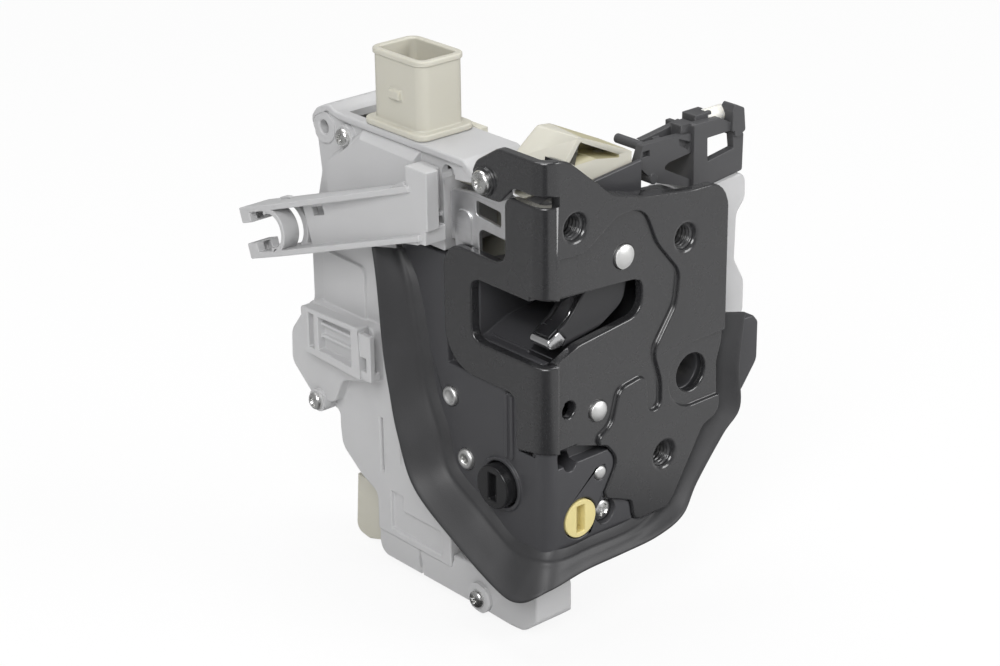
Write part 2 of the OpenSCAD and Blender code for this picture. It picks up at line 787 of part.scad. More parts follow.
module side_cover() {
    color([0.70, 0.70, 0.71]) difference() {
        union() {
            from_side(cover_x, cover_rim) difference() {
                cover_outline();
                intersection_for (a = [0:45:315])
                    translate(polar([0, 0], wall, a)) cover_outline();
            }
            from_side(cover_x, cover_x + wall) cover_outline();
            from_side(cover_x - 0.9, cover_x + 1) difference() {
                cover_outline();
                translate([0, -1.9]) cover_outline();
                translate([-10, -80]) square([200, 83]);
            }
            from_side(cover_x - 1, cover_x + 1) cover_field_outline();
            cover_panel();
            from_side(clip_x, cover_x + 1) polygon(rounded([
                [cover_back + 0.4, -49, 3], [cover_back + 7, -57.6, 5], [cover_back + 7.4, -67.4, 4],
                [cover_back - 3.4, -75.8, 4], [87, -74.4, 4], [83, -66, 5], [68, -62, 3], [68, -45.6, 2],
                [cover_back - 3, -45.6, 2]
            ]));
            bar_x(ear_hole_at, 4.6, cover_x - 0.6, cover_x + 5);
            bar_x(cover_screw_at, 3.4, cover_x - 1.7, cover_x + 8);
            bar_x(bulge_screw_at, 3.4, cover_x - 4.6, cover_x + 8);
            for (z = [-5.9, -11.2]) block([cover_x - 1.2, 41, z], [cover_x + 1, 49.2, z + 1.4]);
            from_side(cover_x - 0.8, cover_x + 1) polygon(rounded([
                [46.6, -62, 0], [60, -66, 4], [61, -88, 4], [52, -94, 2], [45, -94, 0], [42.2, -82, 0]
            ]));
            bar_x(wheel_at, 4.4, cover_x + 1, drive_x - wheel_t / 2 - clear);
            bar_x(lever_at, 4, cover_x + 1, lever_x - clear);
        }
        bar_x(ear_hole_at, 1.9, cover_x - 5, cover_rim + 5);
        bar_x(cover_screw_at, screw_r + screw_gap, cover_x - 5, cover_rim - 2);
        bar_x(cover_screw_at, 3.2, cover_x - 6, cover_x - 1.7);
        bar_x(bulge_screw_at, screw_r + screw_gap, cover_x - 6, cover_x + 7);
        bar_x(wheel_at, 2, cover_x + 0.8, 20);
        bar_x(lever_at, 1.8, cover_x + 0.8, 20);
        bar_x([38.6, 6.2], 2.6, cover_x - 3, cover_x + 3);
        block([cover_x - 1, 69.7, -90.8], [cover_x + 1.5, 70.7, -74.2]);
        block([cover_x - 1, 60.9, -86], [cover_x + 1.5, 62.1, -78]);
        block([cover_x - 1, 45, -107.6], [cover_x + 1.1, 66.8, -100.4]);
        block([cover_x - 1, 61.6, -100.5], [cover_x + 1.1, 66.8, -95.6]);
        block([cover_x + wall, 60, cover_top - wall - 3], [cover_rim + 1, 82, cover_top + 1]);
    }
}

// Lower cover under the seal, with the motor well
module lower_cover() {
    color([0.72, 0.72, 0.73]) difference() {
        intersection() {
            union() {
                from_side(cover_x + 0.6, cover_rim + 3) polygon(rounded([
                    [6.4, -103, 3], [40.8, -106, 0], [40.8, -110.2, 0], [72.8, -110.2, 0],
                    [72.8, -cover_low, 4], [30, -cover_low, 6], [12, -cover_low - 0.5, 5],
                    [6.4, -cover_low + 4, 3]
                ]));
                bar_x(low_screw_at, 4.4, cover_x - 0.8, cover_x + 4);
            }
            translate([0, 0, -150]) linear_extrude(60) polygon(rounded([
                [cover_x - 1, 0, 0], [3.6, 0, 0], [5.4, 12, 8], [cover_rim + 3, 44, 12],
                [cover_rim + 3, 80, 0], [cover_x - 1, 80, 0]
            ]));
            from_front(0, 80) polygon(rounded([
                [cover_x - 1, -90, 0], [cover_rim + 4, -90, 0], [cover_rim + 4, -109, 6],
                [2, -cover_low - 0.6, 6], [cover_x - 1, -cover_low - 0.6, 0]
            ]));
        }
        from_side(cover_x + 0.6 + wall, 3) polygon(rounded([
            [8.4, -105, 2], [38.8, -108, 0], [70.8, -112.2, 0], [70.8, -cover_low + wall, 2],
            [30, -cover_low + wall, 5], [12, -cover_low + wall, 4]
        ]));
        bar_x(low_screw_at, screw_r + screw_gap, cover_x - 3, cover_x + 4);
        curved_slit();
    }
}

// Curved slit from the cover's recess down to its lower edge
module curved_slit() {
    from_side(cover_x - 1, cover_x + 1.6) intersection() {
        translate([36.4, -111]) difference() {
            circle(r = 19.4);
            circle(r = 18.4);
        }
        translate([50, -120]) square([8, 12]);
    }
}

// Inner carrier that closes the side cover and holds the drive
module carrier() {
    x0 = cover_rim;
    color([0.88, 0.86, 0.76]) difference() {
        union() {
            from_side(x0, x0 + carrier_t) difference() {
                cover_outline();
                polygon([[20, -16], [47, -16], [47, 20], [20, 20]]);
            }
            from_side(x0, x0 + carrier_t) polygon(rounded([
                [channel_y + 0.2, 5, 1], [62, 5, 1], [62, -40, 2], [channel_y + 0.2, -40, 2]
            ]));
            block([-4, back_y, shelf_z - carrier_t], [28, 40.4, shelf_z]);
            from_side(-4, x0 + carrier_t) polygon(rounded([
                [74, -100, 0], [88.4, -100, 0], [89.8, -cover_low - 1, 3], [84, -cover_low - 2, 3],
                [74, -cover_low + 1, 2]
            ]));
            block([x0, 66, -109], [x0 + carrier_t, 86, -94]);
            for (z = [-30, -62]) block([x0 + 1, channel_y + 0.6, z], [x0 + 8, 90, z + 1.6]);
            block([x0 + 1, 46, -88], [x0 + 8, 47.6, -20]);
            bar_x(wheel_at, 4.4, lever_x + lever_t + 0.6, x0 + 1);
            bar_x(lever_at, 4, lever_x + lever_t + clear, x0 + 1);
        }
        bar_x(wheel_at, 2, -20, x0 + carrier_t + 1);
        bar_x(lever_at, 1.8, -20, x0 + carrier_t + 1);
        bar_x(ear_hole_at, 1.9, -20, 40);
    }
}

// Electrical socket on the top of the housing
socket_at = [cover_x + 1, 50];
socket_top = cover_top + socket_h;
module socket_shape(shrink, r) {
    x0 = socket_at[0] + shrink;
    y0 = socket_at[1] + shrink;
    polygon(rounded([
        [x0, y0, r], [x0 + socket_w - 2 * shrink, y0, r],
        [x0 + socket_w - 2 * shrink, y0 + socket_l - 2 * shrink, r],
        [x0, y0 + socket_l - 2 * shrink, r]
    ]));
}

module connector_socket() {
    color([0.89, 0.88, 0.80]) difference() {
        union() {
            translate([0, 0, cover_top + 0.1]) linear_extrude(socket_h) socket_shape(0, 3);
            translate([0, 0, cover_top + 0.1]) linear_extrude(1.8) socket_shape(-2, 3);
            translate([0, 0, socket_top - 1.4]) linear_extrude(1.5) socket_shape(-0.5, 3.4);
            block([socket_at[0] - 1.2, socket_at[1] + 8, cover_top + 9],
                [socket_at[0] + 1, socket_at[1] + 12.6, cover_top + 11.6]);
            for (s = [4, 15.6]) block([socket_at[0] + socket_w - 1, socket_at[1] + s, cover_top + 1],
                [socket_at[0] + socket_w + 1, socket_at[1] + s + 1.4, socket_top - 3]);
        }
        translate([0, 0, cover_top + 4]) linear_extrude(socket_h) socket_shape(socket_wall, 1.8);
    }
}

module connector_pins() {
    color([0.80, 0.68, 0.38])
        for (i = [0:4], j = [0:1])
            translate([socket_at[0] + 5 + 4.4 * j, socket_at[1] + 4 + 3.1 * i, cover_top + 4])
                block([0, 0, 0], [0.7, 1.6, 8]);
}

// Guide chute for the outside key rod, open at the top over the key rotor
module rod_funnel() {
    front_y = plate_t + collar_len + 0.1;
    mid_y = 21;
    color([0.90, 0.88, 0.78]) difference() {
        union() {
            hull() {
                from_front(front_y, front_y + 0.1) polygon(rounded([
                    [1, shelf_z, 0], [1, 9, 0], [5.1, 13.8, 0], [9.7, 19.4, 1.2], [28.5, 11.1, 0.6],
                    [28.5, shelf_z, 0]
                ]));
                from_front(mid_y, mid_y + 1) polygon(rounded([
                    [-2, shelf_z, 0], [-2, 13.4, 1], [0.4, 15.6, 0], [6.7, 20.3, 2], [10.7, 19.8, 2],
                    [28.4, 11.4, 0.6], [28.4, shelf_z, 0]
                ]));
            }
            block([cover_rim + 0.1, mid_y, shelf_z], [26, 38, 7]);
            block([-2, mid_y, shelf_z], [12, 26.2, 7]);
            bar_x(ear_screw_at, 3.6, wing_in + 0.1, 2);
        }
        from_front(front_y - 1, 19.6) polygon(rounded([
            [8.4, 11.9, 0.5], [7.4, 13.4, 0.6], [10.6, 17.6, 0.6], [24, 11.2, 0.3], [24, 10.4, 0],
            [16, 11.9, 3]
        ]));
        bar_x(key_at, key_flange_r + clear + 0.1, 11.6, 15.4);
        bar_x(key_at, key_r + pivot_gap, 8.6, 24.4);
        bar_x(ear_screw_at, 2 + screw_gap, wing_in - 1, wing_in + 5.2);
    }
}

module key_rotor() {
    color([0.86, 0.85, 0.78]) difference() {
        union() {
            bar_x(key_at, key_r, 9, 24);
            bar_x(key_at, key_flange_r, 12, 15);
        }
        block([11, key_at[0] - 0.7, key_at[1] + 0.4], [15.6, key_at[0] + 0.7, key_at[1] + 6]);
    }
}

// Light cover at the right of the latch, behind the plate
module right_cover() {
    color([0.74, 0.74, 0.75]) difference() {
        union() {
            from_front(8, 26) polygon(rounded([
                [54, -5.6, 0.6], [70, -4, 3], [70.2, -12, 4], [67, -15.6, 3], [66.6, -29, 4],
                [70.6, -36, 5], [70.6, -47, 3], [54, -47, 2]
            ]));
            from_front(8, 26) polygon([[50.25, -8], [56, -8], [56, -46], [51.44, -46]]);
        }
        from_front(10, 27) polygon(rounded([
            [56, -7.6, 1], [68, -6.4, 2], [68, -12, 3], [65, -15.6, 3], [64.6, -29, 4],
            [68.6, -36, 4], [68.6, -45, 2], [56, -45, 1]
        ]));
    }
}

// Black bracket over the right cover: a window frame and a diagonal arm to the rod clip
module rod_bracket() {
    color([0.10, 0.10, 0.105]) difference() {
        union() {
            from_front(9, 11.4) polygon(rounded([
                [50.8, -5.6, 0], [54, -5.6, 0], [69.6, -4.04, 0.8], [69.8, 6.4, 1], [66.4, 9.6, 0],
                [60.6, 12.8, 1], [50.8, 13.2, 0.8]
            ]));
            from_front(8, 12.6) polygon(rounded([
                [64.3, 13.8, 0.6], [65.2, 15.8, 0.6], [68.8, 14, 0.8], [69.5, 7.6, 0.8],
                [66.5, 6.2, 0.5], [64.3, 7.4, 0.6]
            ]));
            block([50.8, 9, -4.6], [52.6, 20, 12]);
            block([51, 9, 8.4], [64.6, 17, 10]);
            block([53.5, 11.4, 9], [59.5, 16.5, 14.4]);
            block([47.9, 11, 8.6], [52.7, 15.2, 13]);
            from_front(14.6, 16.6) polygon([[36.6, 10.8], [52, 12.8], [52, 10.6], [40.7, 8.4]]);
            from_front(10, 12.4) polygon(rounded([
                [31, 6.5, 0.6], [33, 11.3, 0.6], [46, 10.8, 2], [52, 10.4, 0], [52, 5.3, 0],
                [42.4, 4.4, 1], [40.3, 3.2, 1], [52, -3, 0], [52, -5, 0], [38.5, -0.4, 1], [35, 2.5, 1]
            ]));
            block([40.7, 12, 8.6], [43, 16, 10.4]);
            bar_y([35, 10], 1.3, 10, 22);
            bar_y([36.3, 1.5], 1.4, 9, 20);
        }
        from_front(5, 20) polygon([[56, 8.2], [65.2, 8.2], [65.9, 3.1], [56.2, 1.7]]);
        from_front(9, 11.2) polygon([[46, 10.1], [50.6, 8.2], [49.6, 6.2], [46.4, 8.1]]);
        block([32.8, 9, 7.8], [35.4, 11.4, 9.6]);
        bar_x(bush_at, bush_r + 0.1, 58.2, 66.2);
    }
}

module rod_bush() {
    color([0.8, 0.8, 0.78]) bar_x(bush_at, bush_r, 58.4, 66);
}

// Cable holder: an arm in its own frame, u along the arm, w up across it
module cable_holder() {
    foot = [0, 44, -4];
    tip_x = arm_x - flange_w + 4;
    color([0.71, 0.71, 0.71]) difference() {
        union() {
            block([arm_x, 37.5, -7.4], [arm_x + 4.2, 46, 8.8]);
            block([arm_x, 38.4, -11.4], [cover_x - 1.3, 46, -7]);
            block([arm_x + 2, 42, -4.3], [cover_x, 49, 7.4]);
            translate(foot) rotate([-arm_slope, 0, 0]) {
                from_side(arm_x, arm_x + 2) polygon([
                    [0, -8.4], [12, -6.6], [arm_len - 24, -6.6], [arm_len - 24, 6.6], [12, 6.6], [0, 8.6]
                ]);
                translate([0, 0, 5.7]) arm_flange(tip_x, 1.7);
                translate([0, 0, -7.4]) arm_flange(tip_x, 1.7);
                for (s = [-1, 1]) translate([0, arm_len - 4.6, s * 5.1])
                    block([tip_x, 0, -2.2], [tip_x + 7.6, 4.6, 2.2]);
                fork_ring(tip_x, 5.4, fork_r + 1.3, fork_r - 0.2);
                fork_ring(cover_x - 6.6, 1.8, fork_r + 3.2, fork_r + 1);
            }
        }
        translate(foot) rotate([-arm_slope, 0, 0]) {
            block([arm_x - 1, arm_len - 33, 2.2], [arm_x + 3, arm_len - 28, 4.6]);
            for (s = [-1, 1]) translate([0, arm_len - 5.6, s * 4.6])
                block([tip_x + 2.6, -1.4, -1.2], [tip_x + 5, 3.4, 1.4]);
        }
    }
}

// One flange of the cable holder, wider towards the fork
module arm_flange(tip_x, t) {
    linear_extrude(t) polygon([
        [panel_x - 0.1, -2], [arm_x - 0.8, -2], [tip_x, arm_len - 16],
        [tip_x, arm_len], [panel_x - 0.1, arm_len]
    ]);
}

// Half ring across the arm's fork, open to the tips
module fork_ring(x0, w, r1, r0) {
    translate([0, arm_len - 13, 0]) difference() {
        bar_x([0, 0], r1, x0, x0 + w);
        bar_x([0, 0], r0, x0 - 1, x0 + w + 1);
        block([x0 - 1, 1.5, -20], [x0 + w + 1, 20, 20]);
    }
}

// Clip frame on the side cover that takes a second cable end
module side_clip() {
    color([0.68, 0.68, 0.69]) difference() {
        union() {
            from_side(clip_x - 4, clip_x) polygon(rounded([
                [95.8, -45.8, 1], [70, -44.8, 0.8], [69.4, -60.4, 0.8], [94.8, -59.4, 1]
            ]));
            block([clip_x - 3.4, 65.4, -53.4], [clip_x - 1.6, 70, -46.4]);
            block([clip_x - 3.4, 65.4, -60], [clip_x - 1.6, 67.4, -46.4]);
            block([clip_x - 3.4, 65.4, -60], [clip_x, 70, -57.6]);
        }
        from_side(clip_x - 5, clip_x - 1.4) polygon([
            [88, -47.2], [73.4, -46.6], [73.4, -57.6], [88, -57]
        ]);
        block([clip_x - 5, 90, -57.4], [clip_x - 2, 92.4, -47]);
    }
    color([0.68, 0.68, 0.69])
        for (z = [-50, -53.6]) block([clip_x - 2.6, 73, z], [clip_x - 1, 88.4, z + 1]);
}

// One cross-head screw with a round head along X
module screw_x(at, head_x, length) {
    bar_x(at, 2.6, head_x, head_x + 1.8);
    bar_x(at, screw_r, head_x + 1.8, head_x + length);
}

module cover_screws() {
    color([0.80, 0.80, 0.80]) {
        screw_x(cover_screw_at, cover_x - 3.5, 9);
        screw_x(bulge_screw_at, cover_x - 6.4, 9);
        screw_x(low_screw_at, cover_x - 2.6, 6.4);
    }
}

module plate_screws() {
    color([0.82, 0.82, 0.82]) {
        bar_x(ear_screw_at, 3.2, wing_x - 2.6, wing_x - 0.9);
        bar_x(ear_screw_at, 2, wing_x - 0.9, wing_in + 5);
        bar_y(face_screw_at, 3.2, 1.4, 3.2);
        bar_y(face_screw_at, 1.5, 3.2, 11);
    }
}

module drive_motor() {
    color([0.70, 0.71, 0.72]) intersection() {
        translate([drive_x, worm_y, motor_top - motor_len]) cylinder(r = motor_r, h = motor_len);
        translate([drive_x - motor_flat / 2, worm_y - motor_r, motor_top - motor_len])
            cube([motor_flat, 2 * motor_r, motor_len]);
    }
}

module motor_shaft() {
    color([0.8, 0.8, 0.8])
        translate([drive_x, worm_y, motor_top + clear])
            cylinder(r = 1, h = worm_len + 6);
}

module worm() {
    z0 = wheel_at[1] - worm_len / 2;
    mid = (worm_tip_r + worm_root_r) / 2;
    color([0.92, 0.92, 0.90]) translate([drive_x, worm_y, z0]) rotate(worm_phase) difference() {
        union() {
            cylinder(r = worm_root_r, h = worm_len);
            linear_extrude(worm_len, twist = -360 * worm_len / worm_pitch, slices = 56, $fn = 8)
                polygon([
                    [0, 0], polar([0, 0], worm_tip_r, -36), polar([0, 0], worm_tip_r, 0),
                    polar([0, 0], worm_tip_r, 36)
                ]);
        }
        translate([0, 0, -1]) cylinder(r = 1, h = worm_len + 2);
    }
}

module worm_wheel() {
    tip = wheel_pitch_r + 0.5;
    root = wheel_pitch_r - 1.1;
    step = 360 / wheel_teeth;
    color([0.93, 0.93, 0.91]) difference() {
        union() {
            from_side(drive_x - wheel_t / 2, drive_x + wheel_t / 2) translate(wheel_at) {
                circle(r = root, $fn = 72);
                for (i = [0:wheel_teeth - 1]) rotate(i * step) polygon([
                    [root - 0.6, -1], [tip, -0.55], [tip, 0.55], [root - 0.6, 1]
                ]);
            }
            bar_x(wheel_at, 3.2, drive_x, lever_x + lever_t + 0.2);
            bar_x(polar(wheel_at, crank_r, -90 - crank_swing / 2), crank_pin_r, drive_x, lever_x + lever_t + 0.2);
        }
        bar_x(wheel_at, 2 + pivot_gap, -20, 20);
    }
}

// Forked lever that the crank pin on the worm wheel swings to lock the latch
module lock_lever() {
    reach = wheel_at[1] - lever_at[1];
    color([0.86, 0.85, 0.80]) difference() {
        union() {
            bar_x(lever_at, 4.4, lever_x, lever_x + lever_t);
            from_side(lever_x, lever_x + lever_t) translate(lever_at) rotate(lever_swing / 2)
                polygon(rounded([
                    [-2.2, 0, 0], [-2.2, reach - 12, 2], [-4.1, reach - 10, 1], [-4.1, reach - 3.7, 1],
                    [4.1, reach - 3.7, 1], [4.1, reach - 10, 1], [2.2, reach - 12, 2], [2.2, 0, 0]
                ]));
        }
        from_side(lever_x - 1, lever_x + lever_t + 1) translate(lever_at) rotate(lever_swing / 2)
            translate([-crank_pin_r - 0.9, reach - crank_r - crank_pin_r - 1]) square([2 * crank_pin_r + 1.8, 20]);
        bar_x(lever_at, 1.8 + pivot_gap, -20, 20);
    }
}

module lever_pins() {
    color([0.75, 0.76, 0.77]) {
        bar_x(wheel_at, 2, cover_x + 0.8, cover_rim + carrier_t);
        bar_x(lever_at, 1.8, cover_x + 0.8, cover_rim + carrier_t);
        bar_y([60, -26], 1.6, 10, 25);
        bar_x([52, -24], 1.6, side_in, cover_rim);
    }
}

module lead_frame() {
    color([0.78, 0.58, 0.34]) {
        for (i = [0:2])
            block([cover_rim - 0.8, 64.4 + 3.4 * i, -28], [cover_rim, 65.6 + 3.4 * i, 6]);
    }
}

module switches() {
    color([0.12, 0.12, 0.12])
        for (z = [-52, -70]) block([cover_rim - 3.6, 89, z], [cover_rim, 95, z + 9]);
}

// Outside release lever behind the right cover
module outside_lever() {
    color([0.62, 0.63, 0.64]) difference() {
        union() {
            bar_y([60, -26], 3.4, 12, 14);
            from_front(12, 14) polygon(rounded([
                [57.2, -26, 0], [58.2, -9.4, 1.6], [61.4, -9.4, 1.6], [62.8, -26, 0]
            ]));
        }
        bar_y([60, -26], 1.6 + pivot_gap, 0, 40);
    }
}

// Inside release lever, pulled by the cable
module inside_lever() {
    color([0.62, 0.63, 0.64]) difference() {
        union() {
            bar_x([52, -24], 4, 0, 2);
            from_side(0, 2) polygon(rounded([
                [49, -24, 0], [50, -38, 1.6], [54, -38, 1.6], [55, -24, 0]
            ]));
        }
        bar_x([52, -24], 1.6 + pivot_gap, -20, 20);
    }
}

module emergency_rotary() {
    x1 = case_x - rotary_out;
    color([0.07, 0.07, 0.075]) difference() {
        union() {
            bar_x(rotary_at, rotary_r, x1, case_x + 1.2);
            bar_x(rotary_at, rotary_r - 1.4 - 2 * clear, case_x + 1, side_in + 4);
        }
        block([x1 - 1, rotary_at[0] - 1.5, rotary_at[1] - 3.9],
            [x1 + 2.6, rotary_at[0] + 1.5, rotary_at[1] + 3.9]);
    }
}

module child_rotary() {
    color([0.88, 0.76, 0.48]) difference() {
        union() {
            bar_y(child_at, child_r, case_front - 0.2, 5.6);
            bar_y(child_at, 3 - clear, 5, back_y + 2);
        }
        block([child_at[0] - 1.45, case_front - 2, child_at[1] - 3.9],
            [child_at[0] + 1.45, case_front + 2.6, child_at[1] + 3.9]);
    }
}

latch_plate();
lock_case();
back_plate();
claw_rivet();
pawl_rivet();
case_rivet();
side_rivet();
side_eyelet();
striker_buffer();
seal_skirt();
support_bracket();
side_cover();
lower_cover();
carrier();
connector_socket();
connector_pins();
rod_funnel();
right_cover();
rod_bracket();
rod_bush();
cable_holder();
side_clip();
cover_screws();
plate_screws();
drive_motor();
lead_frame();
switches();
claw_spring();
pawl_spring();
lever_pins();
claw_core();
claw_jacket();
pawl();
outside_lever();
inside_lever();
key_rotor();
emergency_rotary();
child_rotary();
motor_shaft();
worm();
worm_wheel();
lock_lever();
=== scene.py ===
"""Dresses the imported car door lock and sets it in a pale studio.

Every length is in metres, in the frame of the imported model: the origin is the centre of the
upper left bolt hole on the latch plate's face, the plate faces -Y and +Z is up.
"""

import json
import logging
import math
from dataclasses import dataclass
from enum import Enum
from typing import Sequence

import bmesh
import bpy
import numpy as np
from mathutils import Matrix, Vector
from mathutils.bvhtree import BVHTree
from mathutils.geometry import delaunay_2d_cdt


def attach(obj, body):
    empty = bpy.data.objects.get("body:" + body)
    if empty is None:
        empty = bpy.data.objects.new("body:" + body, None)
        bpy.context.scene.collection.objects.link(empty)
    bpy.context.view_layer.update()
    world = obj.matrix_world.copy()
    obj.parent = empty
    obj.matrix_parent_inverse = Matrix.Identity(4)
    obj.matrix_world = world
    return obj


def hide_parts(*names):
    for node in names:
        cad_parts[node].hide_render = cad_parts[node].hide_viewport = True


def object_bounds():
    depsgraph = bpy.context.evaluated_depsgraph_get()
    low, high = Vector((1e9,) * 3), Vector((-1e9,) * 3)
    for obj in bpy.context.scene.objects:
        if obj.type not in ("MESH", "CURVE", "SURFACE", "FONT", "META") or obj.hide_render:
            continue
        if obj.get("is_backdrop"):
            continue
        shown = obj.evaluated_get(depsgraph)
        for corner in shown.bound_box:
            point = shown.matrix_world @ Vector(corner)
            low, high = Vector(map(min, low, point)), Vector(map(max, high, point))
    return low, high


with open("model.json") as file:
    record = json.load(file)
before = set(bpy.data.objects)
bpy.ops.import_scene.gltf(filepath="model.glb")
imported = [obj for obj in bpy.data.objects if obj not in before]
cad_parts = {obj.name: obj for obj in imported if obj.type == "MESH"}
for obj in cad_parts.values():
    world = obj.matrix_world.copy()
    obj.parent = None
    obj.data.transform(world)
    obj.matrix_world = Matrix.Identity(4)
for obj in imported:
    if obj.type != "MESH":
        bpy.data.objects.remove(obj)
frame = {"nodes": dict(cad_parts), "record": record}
log = logging.getLogger("door_lock")
MM = 0.001
NO_LENGTH = 1e-7  # metres below which a length counts as none
NO_SPAN = 1e-9  # metres along an edge below which a line stands upright on it
OWN_LINE = 1e-6  # metres from an edge below which a line is the edge's own
FREE = 1.0  # metres that stand for no limit
FACES_WITH_HOLES = 4  # the kind of result asked of delaunay_2d_cdt
SAME_SPOT = 0.00001  # millimetres between two corners that it takes as one
Point = tuple[float, float, float]
Colour = tuple[float, float, float]


class Wire:
    """A node's output socket that takes part in Python arithmetic."""

    def __init__(self, graph: "Graph", socket: bpy.types.NodeSocket) -> None:
        """Keeps the socket and the graph that it belongs to.

        Args:
            graph: The graph that new nodes are added to.
            socket: The output socket.
        """
        self.graph = graph
        self.socket = socket

    def _math(self, operation: str, first: "Wire | float", second: "Wire | float") -> "Wire":
        """Adds one Math node.

        Args:
            operation: The Math node's operation.
            first: Its first value or link.
            second: Its second value or link.

        Returns:
            The node's result.
        """
        return self.graph.node("ShaderNodeMath", {"operation": operation}, {0: first, 1: second})

    def __add__(self, other: "Wire | float") -> "Wire":
        """Returns self + other."""
        return self._math("ADD", self, other)

    def __sub__(self, other: "Wire | float") -> "Wire":
        """Returns self - other."""
        return self._math("SUBTRACT", self, other)

    def __mul__(self, other: "Wire | float") -> "Wire":
        """Returns self * other."""
        return self._math("MULTIPLY", self, other)

    def __radd__(self, other: float) -> "Wire":
        """Returns other + self."""
        return self._math("ADD", other, self)

    def __rsub__(self, other: float) -> "Wire":
        """Returns other - self."""
        return self._math("SUBTRACT", other, self)

    def __rmul__(self, other: float) -> "Wire":
        """Returns other * self."""
        return self._math("MULTIPLY", other, self)

    def at_least(self, other: "Wire | float") -> "Wire":
        """Returns the larger of the two values."""
        return self._math("MAXIMUM", self, other)


class Graph:
    """The node tree of one material or of the world."""

    def __init__(self, name: str, world: bool = False) -> None:
        """Makes an empty material or world with its output node.

        Args:
            name: Its name.
            world: Whether it is a world.
        """
        self.owner = (bpy.data.worlds if world else bpy.data.materials).new(name)
        self.owner.use_nodes = True
        self.tree = self.owner.node_tree
        self.tree.nodes.clear()
        self.output = self.tree.nodes.new("ShaderNodeOutput" + ("World" if world else "Material"))

    def node(self, kind: str, settings: dict[str, object] | None = None,
             sockets: dict[str | int, object] | None = None, out: str | int = 0) -> Wire:
        """Adds any node.

        Args:
            kind: The node's type.
            settings: Its own settings, or the stops of a ramp under "stops".
            sockets: The value or link of each input socket that is set.
            out: The name or place of the output socket that is returned.

        Returns:
            The chosen output socket.
        """
        made = self.tree.nodes.new(kind)
        for key, value in (settings or {}).items():
            if key == "stops":
                ramp = made.color_ramp
                for index, (place, shade) in enumerate(value):
                    stop = ramp.elements[index] if index < 2 else ramp.elements.new(place)
                    stop.position = place
                    stop.color = (shade, shade, shade, 1.0)
            else:
                setattr(made, key, value)
        for key, value in (sockets or {}).items():
            if isinstance(value, Wire):
                self.tree.links.new(value.socket, made.inputs[key])
            else:
                made.inputs[key].default_value = value
        return Wire(self, made.outputs[out])

    def place(self) -> Wire:
        """Returns the piece's own coordinates, in metres."""
        return self.node("ShaderNodeTexCoord", out="Object")

    def stretched(self, scale: Point) -> Wire:
        """Returns the piece's coordinates scaled along each axis."""
        return self.node("ShaderNodeMapping", sockets={"Vector": self.place(), "Scale": scale})

    def noise(self, scale: float, detail: float = 3.0, where: Wire | None = None) -> Wire:
        """Adds a noise texture.

        Args:
            scale: Its scale, in cells per metre.
            detail: Its octaves.
            where: The coordinates, or none for the piece's own.

        Returns:
            The noise, from 0 to 1.
        """
        sockets = {"Vector": where or self.place(), "Scale": scale, "Detail": detail}
        return self.node("ShaderNodeTexNoise", sockets=sockets, out="Fac")

    def ramp(self, value: Wire, *stops: tuple[float, float]) -> Wire:
        """Returns value passed through a grey ramp with these stops."""
        return self.node("ShaderNodeValToRGB", {"stops": stops}, {"Fac": value}, out="Color")

    def blend(self, factor: Wire | float, low: "Colour | Wire", high: "Colour | Wire") -> Wire:
        """Mixes two colours.

        Args:
            factor: 0 for low and 1 for high.
            low: The first colour or link.
            high: The second colour or link.

        Returns:
            The mixed colour.
        """
        sockets: dict[str | int, object] = {0: factor}
        for index, shade in ((6, low), (7, high)):
            sockets[index] = shade if isinstance(shade, Wire) else (*shade, 1.0)
        return self.node("ShaderNodeMix", {"data_type": "RGBA"}, sockets, out=2)

    def bump(self, height: Wire, distance: float) -> Wire:
        """Returns a normal raised by height over distance, in metres."""
        return self.node("ShaderNodeBump", sockets={"Height": height, "Distance": distance}, out="Normal")

    def finish(self, sockets: dict[str | int, object]) -> bpy.types.Material:
        """Ends the graph in one surface shader.

        Args:
            sockets: The value or link of each of its sockets.

        Returns:
            The finished material.
        """
        return self.end(self.node("ShaderNodeBsdfPrincipled", sockets=sockets))

    def end(self, surface: Wire) -> bpy.types.Material | bpy.types.World:
        """Links the output node to a surface and returns the material or world."""
        self.tree.links.new(surface.socket, self.output.inputs["Surface"])
        return self.owner


def tint(colour: Colour, factor: float) -> Colour:
    """Returns the colour made lighter or darker by a factor."""
    return tuple(min(1.0, channel * factor) for channel in colour)


@dataclass(frozen=True)
class CoatedSteel:
    """Steel sheet under a thin black dip coat: satin, with a faint orange peel.

    Attributes:
        name: The material's name.
        colour: The coat's colour.
        rough: Its mean roughness.
        coat: Weight of the gloss layer.
        peel: Depth of the orange peel, in metres.
    """

    name: str
    colour: Colour
    rough: float = 0.3
    coat: float = 0.35
    peel: float = 0.00002

    def build(self) -> bpy.types.Material:
        """Returns the material."""
        g = Graph(self.name)
        cloud = g.noise(38.0, 4.0)
        peel = g.noise(520.0, 2.0)
        specks = g.ramp(g.noise(5200.0, 1.0), (0.66, 0.0), (0.74, 1.0))
        dust = g.ramp(g.noise(170.0, 5.0), (0.42, 0.0), (0.72, 1.0))
        base = g.blend(cloud, tint(self.colour, 0.85), tint(self.colour, 1.2))
        base = g.blend(specks * 0.16, base, (0.32, 0.32, 0.33))
        return g.finish({
            "Base Color": base,
            "Roughness": self.rough + (cloud - 0.5) * 0.1 + dust * 0.07,
            "Coat Weight": self.coat,
            "Coat Roughness": 0.1,
            "IOR": 1.5,
            "Normal": g.bump(peel, self.peel),
        })


